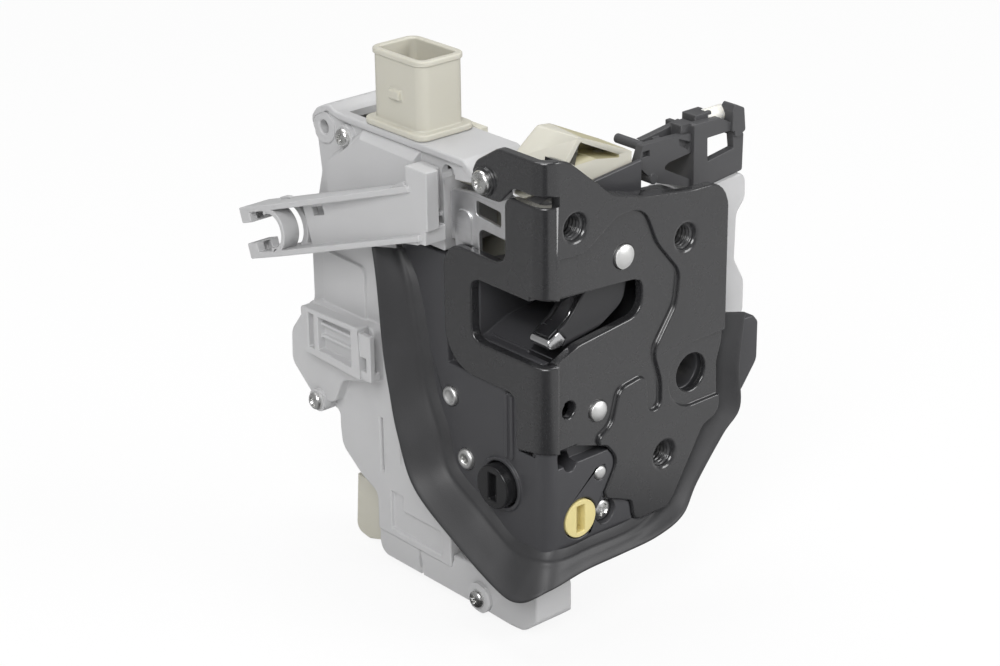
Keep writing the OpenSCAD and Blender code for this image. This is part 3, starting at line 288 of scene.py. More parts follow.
@dataclass(frozen=True)
class Moulded:
    """Moulded plastic with a fine spark-eroded grain and faint flow marks.

    Attributes:
        name: The material's name.
        colour: The plastic's colour.
        rough: Its mean roughness.
        grain: Depth of the grain, in metres.
        cell: Grain cells per metre.
        flow: Strength of the flow marks.
        glow: Subsurface weight, for thin pale walls.
    """

    name: str
    colour: Colour
    rough: float = 0.5
    grain: float = 0.00003
    cell: float = 3600.0
    flow: float = 0.5
    glow: float = 0.0

    def build(self) -> bpy.types.Material:
        """Returns the material."""
        g = Graph(self.name)
        grain = g.noise(self.cell, 2.0)
        cloud = g.noise(45.0, 4.0)
        flow = g.noise(60.0, 3.0, g.stretched((1.0, 0.35, 2.4)))
        speck = g.ramp(g.noise(2600.0, 1.0), (0.69, 0.0), (0.76, 1.0))
        base = g.blend(cloud, tint(self.colour, 0.94), tint(self.colour, 1.05))
        base = g.blend(g.ramp(flow, (0.5, 0.0), (0.75, 1.0)) * (0.12 * self.flow), base,
                       tint(self.colour, 1.12))
        base = g.blend(speck * 0.1, base, tint(self.colour, 0.7))
        sockets = {
            "Base Color": base,
            "Roughness": self.rough + (grain - 0.5) * 0.12 + (cloud - 0.5) * 0.1,
            "IOR": 1.48,
            "Normal": g.bump(grain, self.grain),
        }
        if self.glow:
            sockets["Subsurface Weight"] = self.glow
            sockets["Subsurface Radius"] = (0.004, 0.0036, 0.0026)
            sockets["Subsurface Scale"] = 0.4
        return g.finish(sockets)


@dataclass(frozen=True)
class BareSteel:
    """Bare or zinc-plated steel with fine drawn lines and small scratches.

    Attributes:
        name: The material's name.
        colour: The metal's colour.
        rough: Its mean roughness.
        lines: Scale of the drawn lines along each axis.
        depth: Depth of the lines, in metres.
    """

    name: str
    colour: Colour
    rough: float = 0.28
    lines: Point = (5000.0, 350.0, 350.0)
    depth: float = 0.000008

    def build(self) -> bpy.types.Material:
        """Returns the material."""
        g = Graph(self.name)
        lines = g.noise(1.0, 3.0, g.stretched(self.lines))
        cloud = g.noise(260.0, 4.0)
        marks = g.noise(1.0, 1.0, g.stretched((900.0, 60.0, 4200.0)))
        scratch = g.ramp(marks, (0.68, 0.0), (0.72, 1.0))
        base = g.blend(cloud, tint(self.colour, 0.86), tint(self.colour, 1.08))
        base = g.blend(scratch * 0.3, base, tint(self.colour, 0.6))
        return g.finish({
            "Base Color": base,
            "Metallic": 1.0,
            "Roughness": self.rough + (lines - 0.5) * 0.16 + (cloud - 0.5) * 0.12 + scratch * 0.1,
            "Normal": g.bump(lines, self.depth),
        })


@dataclass(frozen=True)
class SealRubber:
    """Soft black rubber with a matte skin and a trace of mould dust.

    Attributes:
        name: The material's name.
        colour: The rubber's colour.
        rough: Its mean roughness.
    """

    name: str
    colour: Colour
    rough: float = 0.5

    def build(self) -> bpy.types.Material:
        """Returns the material."""
        g = Graph(self.name)
        skin = g.noise(2400.0, 3.0)
        cloud = g.noise(28.0, 5.0)
        dust = g.ramp(g.noise(90.0, 6.0), (0.45, 0.0), (0.8, 1.0))
        base = g.blend(dust * 0.25, self.colour, tint(self.colour, 2.0))
        return g.finish({
            "Base Color": base,
            "Roughness": self.rough + (cloud - 0.5) * 0.18 + (skin - 0.5) * 0.08,
            "IOR": 1.5,
            "Normal": g.bump(skin, 0.000025),
        })


class Finish(Enum):
    """The finishes of the lock's own pieces."""

    PLATE = CoatedSteel("black_coated_plate", (0.022, 0.022, 0.0235), 0.24, 0.8, 0.000009)
    # The thread's finish is the plate's coat made lighter: a painted highlight on the thread's turns.
    THREAD = CoatedSteel("black_coated_thread_painted_highlight", (0.05, 0.05, 0.052), 0.24, 0.7, 0.000006)
    CASE = Moulded("black_case_plastic", (0.052, 0.052, 0.056), 0.34, 0.000018, 2600.0)
    BRACKET = Moulded("black_bracket_plastic", (0.065, 0.065, 0.068), 0.46, 0.00002, 3000.0)
    ROTARY = Moulded("gloss_black_rotary", (0.014, 0.014, 0.015), 0.18, 0.000006, 1800.0)
    JACKET = Moulded("claw_jacket_plastic", (0.028, 0.028, 0.03), 0.34, 0.00001, 1800.0)
    SEAL = SealRubber("black_seal_rubber", (0.036, 0.036, 0.038))
    GREY = Moulded("light_grey_housing", (0.5, 0.5, 0.505), 0.5, 0.00003, 3600.0)
    CREAM = Moulded("cream_socket_plastic", (0.54, 0.525, 0.455), 0.4, 0.000012, 2600.0, 0.5, 0.1)
    # The chute's finish is a darker, yellower copy of the cream: painted shade inside the rod chute.
    CHUTE = Moulded("cream_chute_painted_shade", (0.52, 0.485, 0.32), 0.4, 0.000012, 2600.0)
    WHITE = Moulded("white_gear_plastic", (0.8, 0.79, 0.74), 0.35, 0.000008, 2600.0, 0.5, 0.1)
    YELLOW = Moulded("pale_yellow_rotary", (0.66, 0.57, 0.26), 0.42, 0.00001, 2600.0)
    RIVET = BareSteel("bright_rivet_steel", (0.97, 0.97, 0.95), 0.44, (1600.0, 1600.0, 1600.0))
    ZINC_SCREW = BareSteel("zinc_screw_steel", (0.8, 0.8, 0.79), 0.28, (2600.0, 2600.0, 2600.0))
    ZINC = BareSteel("zinc_bracket_steel", (0.9, 0.9, 0.91), 0.42, (400.0, 5200.0, 500.0))
    JAW = BareSteel("ground_claw_steel", (0.78, 0.78, 0.79), 0.16, (5200.0, 400.0, 5200.0))
    CAN = BareSteel("drawn_motor_steel", (0.62, 0.63, 0.64), 0.3, (500.0, 500.0, 4800.0))
    BRASS = BareSteel("tinned_brass", (0.72, 0.55, 0.28), 0.3)

    def material(self) -> bpy.types.Material:
        """Returns this finish's material, made once."""
        found = bpy.data.materials.get(self.value.name)
        return found or self.value.build()


def paint(piece: bpy.types.Object, finish: Finish) -> None:
    """Gives a piece one finish.

    Args:
        piece: The piece or CAD node.
        finish: Its finish.
    """
    piece.data.materials.clear()
    piece.data.materials.append(finish.material())


def smooth(piece: bpy.types.Object, angle: float) -> None:
    """Shades a piece smooth, apart from edges sharper than an angle in degrees."""
    piece.data.shade_smooth()
    piece.data.set_sharp_from_angle(angle=math.radians(angle))


def apply_all(piece: bpy.types.Object) -> None:
    """Applies every modifier of a piece to its mesh."""
    graph = bpy.context.evaluated_depsgraph_get()
    mesh = bpy.data.meshes.new_from_object(piece.evaluated_get(graph))
    piece.modifiers.clear()
    old = piece.data
    piece.data = mesh
    bpy.data.meshes.remove(old)


def body_of(node: str) -> str:
    """Returns the name of the body that a CAD node rides on."""
    return next(body for body, nodes in frame["record"]["behaviour"]["bodies"].items() if node in nodes)


def slot_of(node: str) -> str:
    """Returns the material slot that the record gives a CAD node."""
    return next(part["material_slot"] for part in frame["record"]["subparts"] if part["node"] == node)


def double_area(rims: Sequence[Sequence[bmesh.types.BMVert]]) -> Vector:
    """Returns the normal of a field with these rims, as long as twice the field's area."""
    return sum((one.co.cross(two.co) for rim in rims for one, two in zip(rim, rim[1:] + rim[:1])), Vector())


@dataclass(frozen=True)
class EdgeRounder:
    """Rounds the sharp edges of a mesh, each by no more than its faces have room for.

    Attributes:
        width: Width of the rounding where there is room, in metres.
        segments: Faces across the rounding.
        angle: Least angle between two faces that counts as sharp, in degrees.
        reach: At each try, how far round a fault the roundings are made smaller, in widths.
        whole_after: The last try at which a field whose rims cross isn't faulty all round.
        least: The least share of the width that is still rounded.
        flat: Least cosine between the normals of two faces of one flat field.
        probes: Where along an edge the field beside it is measured, as shares of its length.
        facing: Share of a field's width for a rounding that faces another one.
        alone: Share of it, or of a curve's radius, for a rounding that faces a plain rim.
        bend: Least angle at an edge that can carry a curve on, in degrees.
        level: Most sine of such an edge's slope out of the field.
        turn: Least and most turn from one edge of a curve to the next, in radians.
        astray: Distance off the old surface at which a corner counts as thrown off, in metres.
        sliver: Length of an edge that is dissolved, in metres.
        excess: Area by which a flat field may be drawn too large, in square metres.
        covered: Share by which a new filling may differ from its field's area.
    """

    width: float
    segments: int = 3
    angle: float = 30.0
    reach: tuple[float, ...] = (1.3, 1.3, 2.5, 1.6, 3.0, 3.0)
    whole_after: int = 2
    least: float = 0.1
    flat: float = 0.9999
    probes: tuple[float, ...] = (0.1, 0.5, 0.9)
    facing: float = 0.45
    alone: float = 0.85
    bend: float = 25.0
    level: float = 0.02
    turn: tuple[float, float] = (0.03, 0.6)
    astray: float = 1.6 * MM
    sliver: float = 0.000003
    excess: float = 5e-8
    covered: float = 0.001

    def is_sharp(self, edge: bmesh.types.BMEdge) -> bool:
        """Returns whether an edge is to be rounded."""
        return len(edge.link_faces) == 2 and edge.calc_face_angle(0.0) > math.radians(self.angle)

    def fields(self, work: bmesh.types.BMesh) -> list[list[bmesh.types.BMFace]]:
        """Returns the faces grouped into flat fields."""
        seen: set[bmesh.types.BMFace] = set()
        groups = []
        for first in work.faces:
            if first in seen:
                continue
            group, queue = [], [first]
            seen.add(first)
            while queue:
                face = queue.pop()
                group.append(face)
                for edge in face.edges:
                    for other in edge.link_faces:
                        if other not in seen and other.normal.dot(first.normal) > self.flat:
                            seen.add(other)
                            queue.append(other)
            groups.append(group)
        return groups

    def rooms(self, work: bmesh.types.BMesh) -> dict[bmesh.types.BMEdge, float]:
        """Measures how far each sharp edge may be rounded.

        Args:
            work: The mesh.

        Returns:
            The room beside each sharp edge, in metres.
        """
        room: dict[bmesh.types.BMEdge, float] = {}
        for group in self.fields(work):
            members = set(group)
            rim = [loop for face in group for loop in face.loops
                   if not all(other in members for other in loop.edge.link_faces)]
            ends = np.array([[*loop.vert.co, *loop.link_loop_next.vert.co] for loop in rim])
            sharp = np.array([self.is_sharp(loop.edge) for loop in rim])
            normal = group[0].normal
            for loop, hard in zip(rim, sharp):
                if hard:
                    free = self.free_width(loop, normal, ends, sharp)
                    free = min(free, self.corner_limit(loop, normal))
                    room[loop.edge] = min(room.get(loop.edge, FREE), free)
        return room

    def free_width(self, loop: bmesh.types.BMLoop, normal: Vector, ends: np.ndarray,
                   sharp: np.ndarray) -> float:
        """Measures a flat field inwards from one edge of its rim.

        Args:
            loop: The rim's edge.
            normal: The field's normal.
            ends: Both ends of each edge of the rim.
            sharp: Whether each edge of the rim is sharp.

        Returns:
            The share of that width that the edge may take, in metres.
        """
        start = loop.vert.co
        along = loop.link_loop_next.vert.co - start
        length = along.length
        if length < NO_LENGTH:
            return 0.0
        along = along / length
        axes = np.array([along, normal.cross(along)])
        best = FREE
        for place in self.probes:
            origin = np.array(start + along * (length * place))
            first = (ends[:, :3] - origin) @ axes.T
            last = (ends[:, 3:] - origin) @ axes.T
            crossing = first[:, 0] * last[:, 0] <= 0.0
            span = last[:, 0] - first[:, 0]
            slanted = np.abs(span) > NO_SPAN
            crossing &= slanted
            depth = np.full(len(ends), FREE)
            drop = first[:, 0] * (last[:, 1] - first[:, 1]) / np.where(slanted, span, 1.0)
            depth[crossing] = (first[:, 1] - drop)[crossing]
            depth[depth < OWN_LINE] = FREE
            best = min(best, float(np.min(depth * np.where(sharp, self.facing, self.alone))))
        return best

    def corner_limit(self, loop: bmesh.types.BMLoop, normal: Vector) -> float:
        """Measures the outward curve that an edge of a rim is part of.

        Args:
            loop: The rim's edge.
            normal: The field's normal.

        Returns:
            The share of the curve's radius that the edge may take, or 1 m on no curve.
        """
        start, end = loop.vert.co, loop.link_loop_next.vert.co
        inward = normal.cross(end - start)
        limit = FREE
        for edge_end, other_end in ((loop.vert, end), (loop.link_loop_next.vert, start)):
            for edge in edge_end.link_edges:
                if edge is loop.edge or edge.calc_face_angle(0.0) < math.radians(self.bend):
                    continue
                beyond = edge.other_vert(edge_end).co - edge_end.co
                if beyond.length < NO_LENGTH or abs(beyond.normalized().dot(normal)) > self.level:
                    continue
                turn = (edge_end.co - other_end).angle(beyond, 0.0)
                if self.turn[0] < turn < self.turn[1] and beyond.dot(inward) > 0:
                    limit = min(limit, self.alone * (end - start).length / (2.0 * math.tan(turn / 2.0)))
        return limit

    def apply(self, piece: bpy.types.Object) -> None:
        """Rounds the edges of a piece, less wherever two roundings would meet.

        Args:
            piece: The piece, whose mesh is replaced.
        """
        source = piece.data.copy()
        self.refill(source, False)
        work = bmesh.new()
        work.from_mesh(source)
        shares = np.zeros(len(work.edges), np.float32)
        for edge, room in self.rooms(work).items():
            shares[edge.index] = min(1.0, room / self.width)
        ends = np.array([[*edge.verts[0].co, *edge.verts[1].co] for edge in work.edges])
        work.free()
        tree = BVHTree.FromPolygons([vert.co for vert in source.vertices],
                                    [face.vertices for face in source.polygons])
        for attempt, reach in enumerate(self.reach):
            shares[shares < self.least] = 0.0
            self.bevel(piece, source.copy(), shares)
            faults = self.refill(piece.data, attempt > self.whole_after)
            faults += [place for _, place in self.strays(piece.data, tree)]
            if not faults:
                break
            for fault in faults:
                shares[self.gaps(ends, fault) < self.width * reach] *= 0.0 if attempt else 0.5
        for corner, place in self.strays(piece.data, tree):
            piece.data.vertices[corner].co = place
        log.info("%s: %d tries, %d faults left", piece.name, attempt + 1, len(faults))
        bpy.data.meshes.remove(source)

    def strays(self, mesh: bpy.types.Mesh, tree: BVHTree) -> list[tuple[int, Vector]]:
        """Finds the corners that a rounding has thrown off the old surface.

        Args:
            mesh: The rounded mesh.
            tree: The faces of the mesh before its edges were rounded.

        Returns:
            Each such corner with the nearest place on the old surface.
        """
        found = []
        for vert in mesh.vertices:
            place, _, _, gap = tree.find_nearest(vert.co)
            if gap > self.astray:
                found.append((vert.index, place))
        return found

    @staticmethod
    def gaps(ends: np.ndarray, spot: Vector) -> np.ndarray:
        """Returns the distance from each edge to a spot."""
        start, span = ends[:, :3], ends[:, 3:] - ends[:, :3]
        squared = np.maximum((span * span).sum(1), NO_LENGTH ** 2)
        place = np.clip(((np.array(spot) - start) * span).sum(1) / squared, 0, 1)
        return np.linalg.norm(start + span * place[:, None] - np.array(spot), axis=1)

    def bevel(self, piece: bpy.types.Object, mesh: bpy.types.Mesh, shares: np.ndarray) -> None:
        """Bevels a mesh by a share of the width at each edge and gives it to the piece."""
        weight = mesh.attributes.new("bevel_weight_edge", "FLOAT", "EDGE")
        weight.data.foreach_set("value", shares)
        old, piece.data = piece.data, mesh
        bpy.data.meshes.remove(old)
        bevel = piece.modifiers.new("edge", "BEVEL")
        bevel.width = self.width
        bevel.segments = self.segments
        bevel.limit_method = "WEIGHT"
        bevel.use_clamp_overlap = False
        bevel.miter_outer = "MITER_SHARP"
        apply_all(piece)

    def refill(self, mesh: bpy.types.Mesh, whole: bool) -> list[Vector]:
        """Fills again, from its rim and holes, each flat field that no longer covers its own area.

        Args:
            mesh: The mesh after its edges were rounded.
            whole: Whether a field whose rims cross counts as faulty all round.

        Returns:
            The spots where rims cross.
        """
        work = bmesh.new()
        work.from_mesh(mesh)
        bmesh.ops.dissolve_degenerate(work, dist=self.sliver, edges=work.edges)
        work.faces.index_update()
        drawn: dict[int, float] = {}
        for corners in work.calc_loop_triangles():
            a, b, c = (loop.vert.co for loop in corners)
            index = corners[0].face.index
            drawn[index] = drawn.get(index, 0.0) + (b - a).cross(c - a).length * 0.5
        spots: list[Vector] = []
        groups = [group for group in self.fields(work) if len(group) > 1 or len(group[0].verts) > 4]
        for group in groups:
            rims = self.rim_loops(group)
            true = double_area(rims).length * 0.5
            if rims and sum(drawn.get(face.index, 0.0) for face in group) - true > self.excess:
                found = self.fill_field(work, group, rims)
                spots += [vert.co.copy() for rim in rims for vert in rim] if found and whole else found
        work.normal_update()
        work.to_mesh(mesh)
        work.free()
        return spots

    def fill_field(self, work: bmesh.types.BMesh, group: list[bmesh.types.BMFace],
                   rims: list[list[bmesh.types.BMVert]]) -> list[Vector]:
        """Replaces the faces of one flat field by triangles between its rims.

        Args:
            work: The mesh.
            group: The field's faces.
            rims: The closed rims of the field.

        Returns:
            The spots where the rims cross, or all of their corners where the filling doesn't
            cover the field. Both leave the field as it is.
        """
        normal = max(group, key=lambda face: face.calc_area()).normal.copy()
        side = normal.orthogonal().normalized()
        rise = normal.cross(side)
        verts = [vert for rim in rims for vert in rim]
        level = verts[0].co.dot(normal)
        flat = [Vector((vert.co.dot(side), vert.co.dot(rise))) / MM for vert in verts]
        loops, first = [], 0
        for rim in rims:
            loops.append(list(range(first, first + len(rim))))
            first += len(rim)
        edges = [pair for loop in loops for pair in zip(loop, loop[1:] + loop[:1])]
        places, _, faces, sources, _, _ = delaunay_2d_cdt(flat, edges, loops, FACES_WITH_HOLES, SAME_SPOT)
        crossings = [side * (place.x * MM) + rise * (place.y * MM) + normal * level
                     for place, source in zip(places, sources) if len(source) != 1]
        if crossings:
            return crossings
        drawn = [[verts[sources[index][0]] for index in corners] for corners in faces]
        covered = sum(abs(double_area([rim]).dot(normal)) for rim in drawn)
        if abs(covered / double_area(rims).length - 1.0) > self.covered:
            return [vert.co.copy() for vert in verts]
        bmesh.ops.delete(work, geom=group, context="FACES_ONLY")
        for rim in drawn:
            work.faces.new(rim[::-1] if double_area([rim]).dot(normal) < 0 else rim)
        loose = [edge for edge in work.edges if not edge.link_faces]
        bmesh.ops.delete(work, geom=loose, context="EDGES")
        return []

    @staticmethod
    def rim_loops(group: list[bmesh.types.BMFace]) -> list[list[bmesh.types.BMVert]]:
        """Returns the closed rims of a flat field, or none where two of them touch."""
        members = set(group)
        ahead: dict[bmesh.types.BMVert, bmesh.types.BMVert] = {}
        for face in group:
            for loop in face.loops:
                if all(other in members for other in loop.edge.link_faces):
                    continue
                if loop.vert in ahead:
                    return []
                ahead[loop.vert] = loop.link_loop_next.vert
        rims = []
        while ahead:
            first, spot = ahead.popitem()
            rim = [first]
            while spot is not first:
                rim.append(spot)
                if spot not in ahead:
                    return []
                spot = ahead.pop(spot)
            rims.append(rim)
        return rims


def link(name: str, data: bpy.types.ID) -> bpy.types.Object:
    """Stands a mesh, a light or a camera in the scene."""
    piece = bpy.data.objects.new(name, data)
    bpy.context.scene.collection.objects.link(piece)
    return piece


def dress(piece: bpy.types.Object, finish: Finish, node: str, sharp: float = 0.0,
          stands_for: bool = True) -> bpy.types.Object:
    """Gives a piece its shading, its finish and the body that it rides on, and looks up its node's slot.

    Args:
        piece: The piece, in place.
        finish: Its finish.
        node: The CAD node that it belongs to.
        sharp: Angle from which an edge stays sharp, in degrees, or 0 for a piece already shaded.
        stands_for: Whether the node is hidden for it.

    Returns:
        The piece.
    """
    if sharp:
        smooth(piece, sharp)
    paint(piece, finish)
    if stands_for:
        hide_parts(node)
    slot_of(node)
    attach(piece, body_of(node))
    log.info("%s: %s, %d faces", node, finish.value.name, len(piece.data.polygons))
    return piece


def cad_copy(node: str, same: float = 0.000004, bend: float = 0.6) -> bpy.types.Object:
    """Stands a copy of a CAD node in the scene, with the triangles of each flat field joined.

    Args:
        node: The CAD node.
        same: Distance between two corners that count as one, in metres.
        bend: Most angle between two faces of one field, in degrees.

    Returns:
        The copy.
    """
    piece = link(node + "_soft", frame["nodes"][node].data.copy())
    work = bmesh.new()
    work.from_mesh(piece.data)
    bmesh.ops.remove_doubles(work, verts=work.verts, dist=same)
    bmesh.ops.dissolve_limit(work, angle_limit=math.radians(bend), verts=work.verts, edges=work.edges)
    work.to_mesh(piece.data)
    work.free()
    return piece


def softened(node: str, finish: Finish, width: float, segments: int = 3,
             piece: bpy.types.Object | None = None) -> bpy.types.Object:
    """Stands a copy of a CAD node, with its edges rounded, in place of the node.

    Args:
        node: The CAD node.
        finish: The copy's finish.
        width: Width of the rounding, in millimetres.
        segments: Faces across the rounding.
        piece: The copy, or none for one that is yet to be made.

    Returns:
        The copy.
    """
    piece = piece or cad_copy(node)
    EdgeRounder(width * MM, segments).apply(piece)
    smooth(piece, 38.0)
    weigh = piece.modifiers.new("normals", "WEIGHTED_NORMAL")
    weigh.keep_sharp = True
    weigh.weight = 60
    apply_all(piece)
    return dress(piece, finish, node)


def placed(axis: str, reach: float, a: float, b: float) -> Point:
    """Returns the point at a place along X or Y, and at a and b across it."""
    return (reach, a, b) if axis == "x" else (a, reach, b)


def circle(axis: str, at: tuple[float, float], radius: float, reach: float, steps: int = 48) -> list[Point]:
    """Returns points on a circle round a line.

    Args:
        axis: "x" with at in Y and Z, or "y" with at in X and Z.
        at: The line's place.
        radius: The circle's radius.
        reach: Its place along the line.
        steps: The count of points.

    Returns:
        The points, in order.
    """
    turns = [2.0 * math.pi * step / steps for step in range(steps)]
    return [placed(axis, reach, at[0] + radius * math.cos(turn), at[1] + radius * math.sin(turn))
            for turn in turns]


class Workpiece:
    """A mesh that is built up in millimetres from turned, lofted and cut shapes."""

    def __init__(self) -> None:
        """Starts empty."""
        self.mesh = bmesh.new()

    def vertex(self, place: Sequence[float]) -> bmesh.types.BMVert:
        """Adds one vertex, given in millimetres."""
        return self.mesh.verts.new((place[0] * MM, place[1] * MM, place[2] * MM))

    def skin(self, rings: Sequence[Sequence[Sequence[float]]], closed: bool = False) -> None:
        """Joins rings of equal count into a closed skin.

        Args:
            rings: The points of each ring.
            closed: Whether the last ring joins the first, instead of both being capped.
        """
        rows = [[self.vertex(place) for place in ring] for ring in rings]
        pairs = list(zip(rows, rows[1:])) + ([(rows[-1], rows[0])] if closed else [])
        for low, high in pairs:
            for index in range(len(low)):
                after = (index + 1) % len(low)
                self.mesh.faces.new((low[index], low[after], high[after], high[index]))
        if not closed:
            self.mesh.faces.new(rows[0][::-1])
            self.mesh.faces.new(rows[-1])

    def turned(self, axis: str, at: tuple[float, float], profile: Sequence[tuple[float, float]],
               hollow: bool = False) -> None:
        """Turns a profile about a line along X or Y.

        Args:
            axis: "x" with at in Y and Z, or "y" with at in X and Z.
            at: The line's place.
            profile: Radius and place along the line of each point, from one end to the other.
            hollow: Whether the profile is a closed loop off the line.
        """
        self.skin([circle(axis, at, radius, reach) for radius, reach in profile], hollow)

    def piece(self, name: str) -> bpy.types.Object:
        """Ends the mesh as a piece with its faces turned outwards."""
        bmesh.ops.remove_doubles(self.mesh, verts=self.mesh.verts, dist=0.000001)
        bmesh.ops.recalc_face_normals(self.mesh, faces=self.mesh.faces)
        made = bpy.data.meshes.new(name)
        self.mesh.to_mesh(made)
        self.mesh.free()
        return link(name, made)


def cut(piece: bpy.types.Object, tool: bpy.types.Object) -> None:
    """Cuts one piece with another, which is used up."""
    saw = piece.modifiers.new("cut", "BOOLEAN")
    saw.object = tool
    saw.operation = "DIFFERENCE"
    saw.solver = "EXACT"
    apply_all(piece)
    bpy.data.objects.remove(tool)


@dataclass(frozen=True)
class CrossScrew:
    """A pan-head screw with a tapered cross recess.

    Attributes:
        axis: "x" or "y", the way that the screw points.
        at: Its place across that axis, in millimetres.
        top: Place of the head's top along the axis.
        head: Radius and height of the head.
        shank: Radius of the shank and the place of its tip.
        turn: Turn of the cross, in degrees.
        dome: Radius and drop from the top of the head's outline, as shares of its size.
        cross: Length and width of the cross above the head, half way down and at its foot, as
            shares of the head's radius.
    """

    axis: str
    at: tuple[float, float]
    top: float
    head: tuple[float, float]
    shank: tuple[float, float]
    turn: float
    dome: tuple[tuple[float, float], ...] = (
        (0.02, 0.0), (0.3, 0.02), (0.55, 0.09), (0.76, 0.21), (0.9, 0.38), (0.975, 0.6), (1.0, 0.84),
        (0.985, 1.0))
    cross: tuple[tuple[float, float], ...] = ((0.66, 0.19), (0.52, 0.16), (0.16, 0.07))

    def build(self, name: str) -> bpy.types.Object:
        """Returns the screw as a piece."""
        radius, height = self.head
        base = self.top + height
        body = Workpiece()
        dome = [(radius * share, self.top + height * drop) for share, drop in self.dome]
        shank, tip = self.shank
        body.turned(self.axis, self.at, dome + [(shank, base), (shank, tip - 0.6), (shank * 0.4, tip)])
        screw = body.piece(name)
        for quarter in (0.0, 90.0):
            cut(screw, self.blade(self.turn + quarter))
        return screw

    def blade(self, turn: float) -> bpy.types.Object:
        """Returns one tapered blade of the driver that the cross fits."""
        radius = self.head[0]
        depth = min(self.head[1] * 0.8, 1.5)
        angle = math.radians(turn)
        rings = []
        for reach, (length, width) in zip((-0.4, depth * 0.5, depth), self.cross):
            ring = []
            for a, b in ((-1, -1), (1, -1), (1, 1), (-1, 1)):
                u, v = a * length * radius, b * width * radius
                p = self.at[0] + u * math.cos(angle) - v * math.sin(angle)
                q = self.at[1] + u * math.sin(angle) + v * math.cos(angle)
                ring.append(placed(self.axis, self.top + reach, p, q))
            rings.append(ring)
        tool = Workpiece()
        tool.skin(rings)
        return tool.piece("blade")


def joined(name: str, parts: Sequence[bpy.types.Object]) -> bpy.types.Object:
    """Joins parts into one piece.

    Args:
        name: The piece's name.
        parts: The parts, which are used up.

    Returns:
        The piece.
    """
    work = bmesh.new()
    for part in parts:
        work.from_mesh(part.data)
        bpy.data.objects.remove(part)
    mesh = bpy.data.meshes.new(name)
    work.to_mesh(mesh)
    work.free()
    return link(name, mesh)


